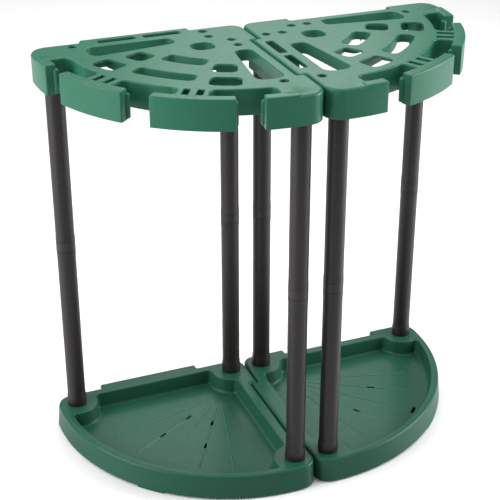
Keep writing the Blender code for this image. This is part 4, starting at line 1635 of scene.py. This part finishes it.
@dataclass
class RackHalf:
    """One half of the rack: its plate, tray and legs."""

    side: Side
    plan: Plan
    materials: dict[PlasticFinish, bpy.types.Material]
    ridges: RidgeTree

    def build_plate(self) -> None:
        """Make the top plate and the beads in its bays."""
        low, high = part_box(self.side.node("top_plate"))
        plate = PlateMoulding(self.plan, top=high.z, bottom=low.z)
        material = self.materials[PLATE_FINISH]
        body = plate.build(self.side.node("plate_moulding"), self.side)
        dress(body, self.side, PLATE_FINISH, material, self.side.node("top_plate"))
        beads = self.ridges.apply(self.side.node("bay_beads"), plate.bead_guides(self.side), material,
                                  {"Radius": plate.bead_radius, "Tip": 0.10, "Points": 40, "Sides": 24})
        dress(beads, self.side, PLATE_FINISH, material)

    def build_tray(self) -> None:
        """Make the tray and the ribs on its floor."""
        low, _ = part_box(self.side.node("outer_lower_tube"))
        tray = TrayMoulding(self.plan, top=low.z - FIT_GAP)
        body = tray.build(self.side.node("tray_moulding"), self.side)
        # The tray takes the darker green, which is painted shade.
        dress(body, self.side, TRAY_PAINTED_SHADE_FINISH, self.materials[TRAY_PAINTED_SHADE_FINISH], self.side.node("tray"))
        # The ribs take a lighter green, which is a painted highlight.
        material = self.materials[RIB_PAINTED_HIGHLIGHT_FINISH]
        ribs = self.ridges.apply(self.side.node("tray_ribs"), tray.rib_guides(self.side), material,
                                 {"Radius": tray.rib_radius, "Tip": 0.06, "Points": 60, "Sides": 20})
        dress(ribs, self.side, RIB_PAINTED_HIGHLIGHT_FINISH, material)

    def build_legs(self) -> None:
        """Make the tubes and couplers of the three legs."""
        for leg in Leg:
            tube = TubeLeg(self.side, leg)
            for piece, node, finish in ((tube.lower_tube(), "lower_tube", TUBE_FINISH),
                                        (tube.coupler(), "coupler", COUPLER_FINISH),
                                        (tube.upper_tube(), "upper_tube", TUBE_FINISH)):
                dress(piece, self.side, finish, self.materials[finish], tube.node(node))


@dataclass(frozen=True)
class SoftBox:
    """A rectangular studio light that faces a point."""

    name: str
    place: Point
    aim: Point
    size: Span
    power: float

    def build(self) -> None:
        """Add the light to the scene."""
        data = bpy.data.lights.new(self.name, "AREA")
        data.shape = "RECTANGLE"
        data.size, data.size_y = self.size
        data.energy = self.power
        lamp = link(self.name, data)
        lamp.location = self.place
        lamp.rotation_euler = (Vector(self.aim) - Vector(self.place)).to_track_quat("-Z", "Y").to_euler()


@dataclass(frozen=True)
class Studio:
    """Plain pale floor, soft lights, and the camera at the photograph's angle."""

    azimuth: float = math.radians(-22.0)
    elevation: float = math.radians(26.97)
    distance: float = 1.9918
    aim: Point = (0.0, 0.0105, 0.298)
    aim_right: float = -0.0394
    aim_up: float = 0.0232
    lens: float = 91.78
    world_strength: float = 0.12
    floor_half: float = 6.0
    floor_shade: float = 0.62
    floor_roughness: float = 0.45
    lights: tuple[SoftBox, ...] = (
        SoftBox("top_light", (0.0, 1.7, 3.4), (0.0, 1.7, 0.0), (5.4, 7.0), 320.0),
        SoftBox("left_light", (-2.3, -0.1, 1.0), (0.0, 0.0, 0.35), (1.6, 1.6), 80.0),
        SoftBox("right_light", (2.2, -0.6, 1.0), (0.0, 0.0, 0.35), (1.6, 1.6), 100.0),
        SoftBox("back_light", (1.1, 2.6, 2.0), (0.0, 0.0, 0.6), (1.0, 1.2), 8.0),
    )

    def build_camera(self) -> None:
        """Place the camera."""
        level = math.cos(self.elevation)
        back = Vector((math.sin(self.azimuth) * level, -math.cos(self.azimuth) * level,
                       math.sin(self.elevation)))
        right = (-back).cross(Vector((0.0, 0.0, 1.0))).normalized()
        up = back.cross(right)
        data = bpy.data.cameras.new("camera")
        data.lens = self.lens
        camera = link("camera", data)
        place = Vector(self.aim) + right * self.aim_right + up * self.aim_up + back * self.distance
        turn = Matrix((right, up, back)).transposed()
        camera.matrix_world = Matrix.Translation(place) @ turn.to_4x4()
        bpy.context.scene.camera = camera

    def build_world(self) -> None:
        """Light the scene from all round with a pale sky."""
        world = bpy.data.worlds.new("studio")
        world.use_nodes = True
        ground = world.node_tree.nodes["Background"]
        ground.inputs["Color"].default_value = (1.0, 1.0, 1.0, 1.0)
        ground.inputs["Strength"].default_value = self.world_strength
        bpy.context.scene.world = world
        bpy.context.scene.view_settings.view_transform = "Standard"

    def build_floor(self) -> None:
        """Lay the floor."""
        half = self.floor_half
        data = bpy.data.meshes.new("studio_floor")
        data.from_pydata([(-half, -half, 0.0), (half, -half, 0.0), (half, half, 0.0), (-half, half, 0.0)],
                         [], [(0, 1, 2, 3)])
        floor = link("studio_floor", data)
        material = bpy.data.materials.new("pale_floor")
        material.use_nodes = True
        shader = material.node_tree.nodes["Principled BSDF"]
        shader.inputs["Base Color"].default_value = (*[self.floor_shade] * 3, 1.0)
        shader.inputs["Roughness"].default_value = self.floor_roughness
        data.materials.append(material)
        floor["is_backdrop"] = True

    def build(self) -> None:
        """Build the whole studio."""
        self.build_world()
        self.build_floor()
        self.build_camera()
        for light in self.lights:
            light.build()


def corners(bounds: tuple[Vector, Vector]) -> list[list[float]]:
    """A box's two corners as plain lists."""
    return [list(bounds[0]), list(bounds[1])]


def main() -> None:
    """Build the studio, then each half of the rack, and measure the bounds before and after."""
    logging.basicConfig(level=logging.INFO, format="%(name)s: %(message)s")
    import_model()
    cad_box = corners(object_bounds())
    Studio().build()
    materials = {finish: finish.material() for finish in FINISHES}
    ridges = RidgeTree()
    for side in Side:
        half = RackHalf(side, Plan(), materials, ridges)
        half.build_plate()
        half.build_tray()
        half.build_legs()
    {"cad": cad_box, "visual": corners(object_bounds())}


if __name__ == "__main__":
    main()
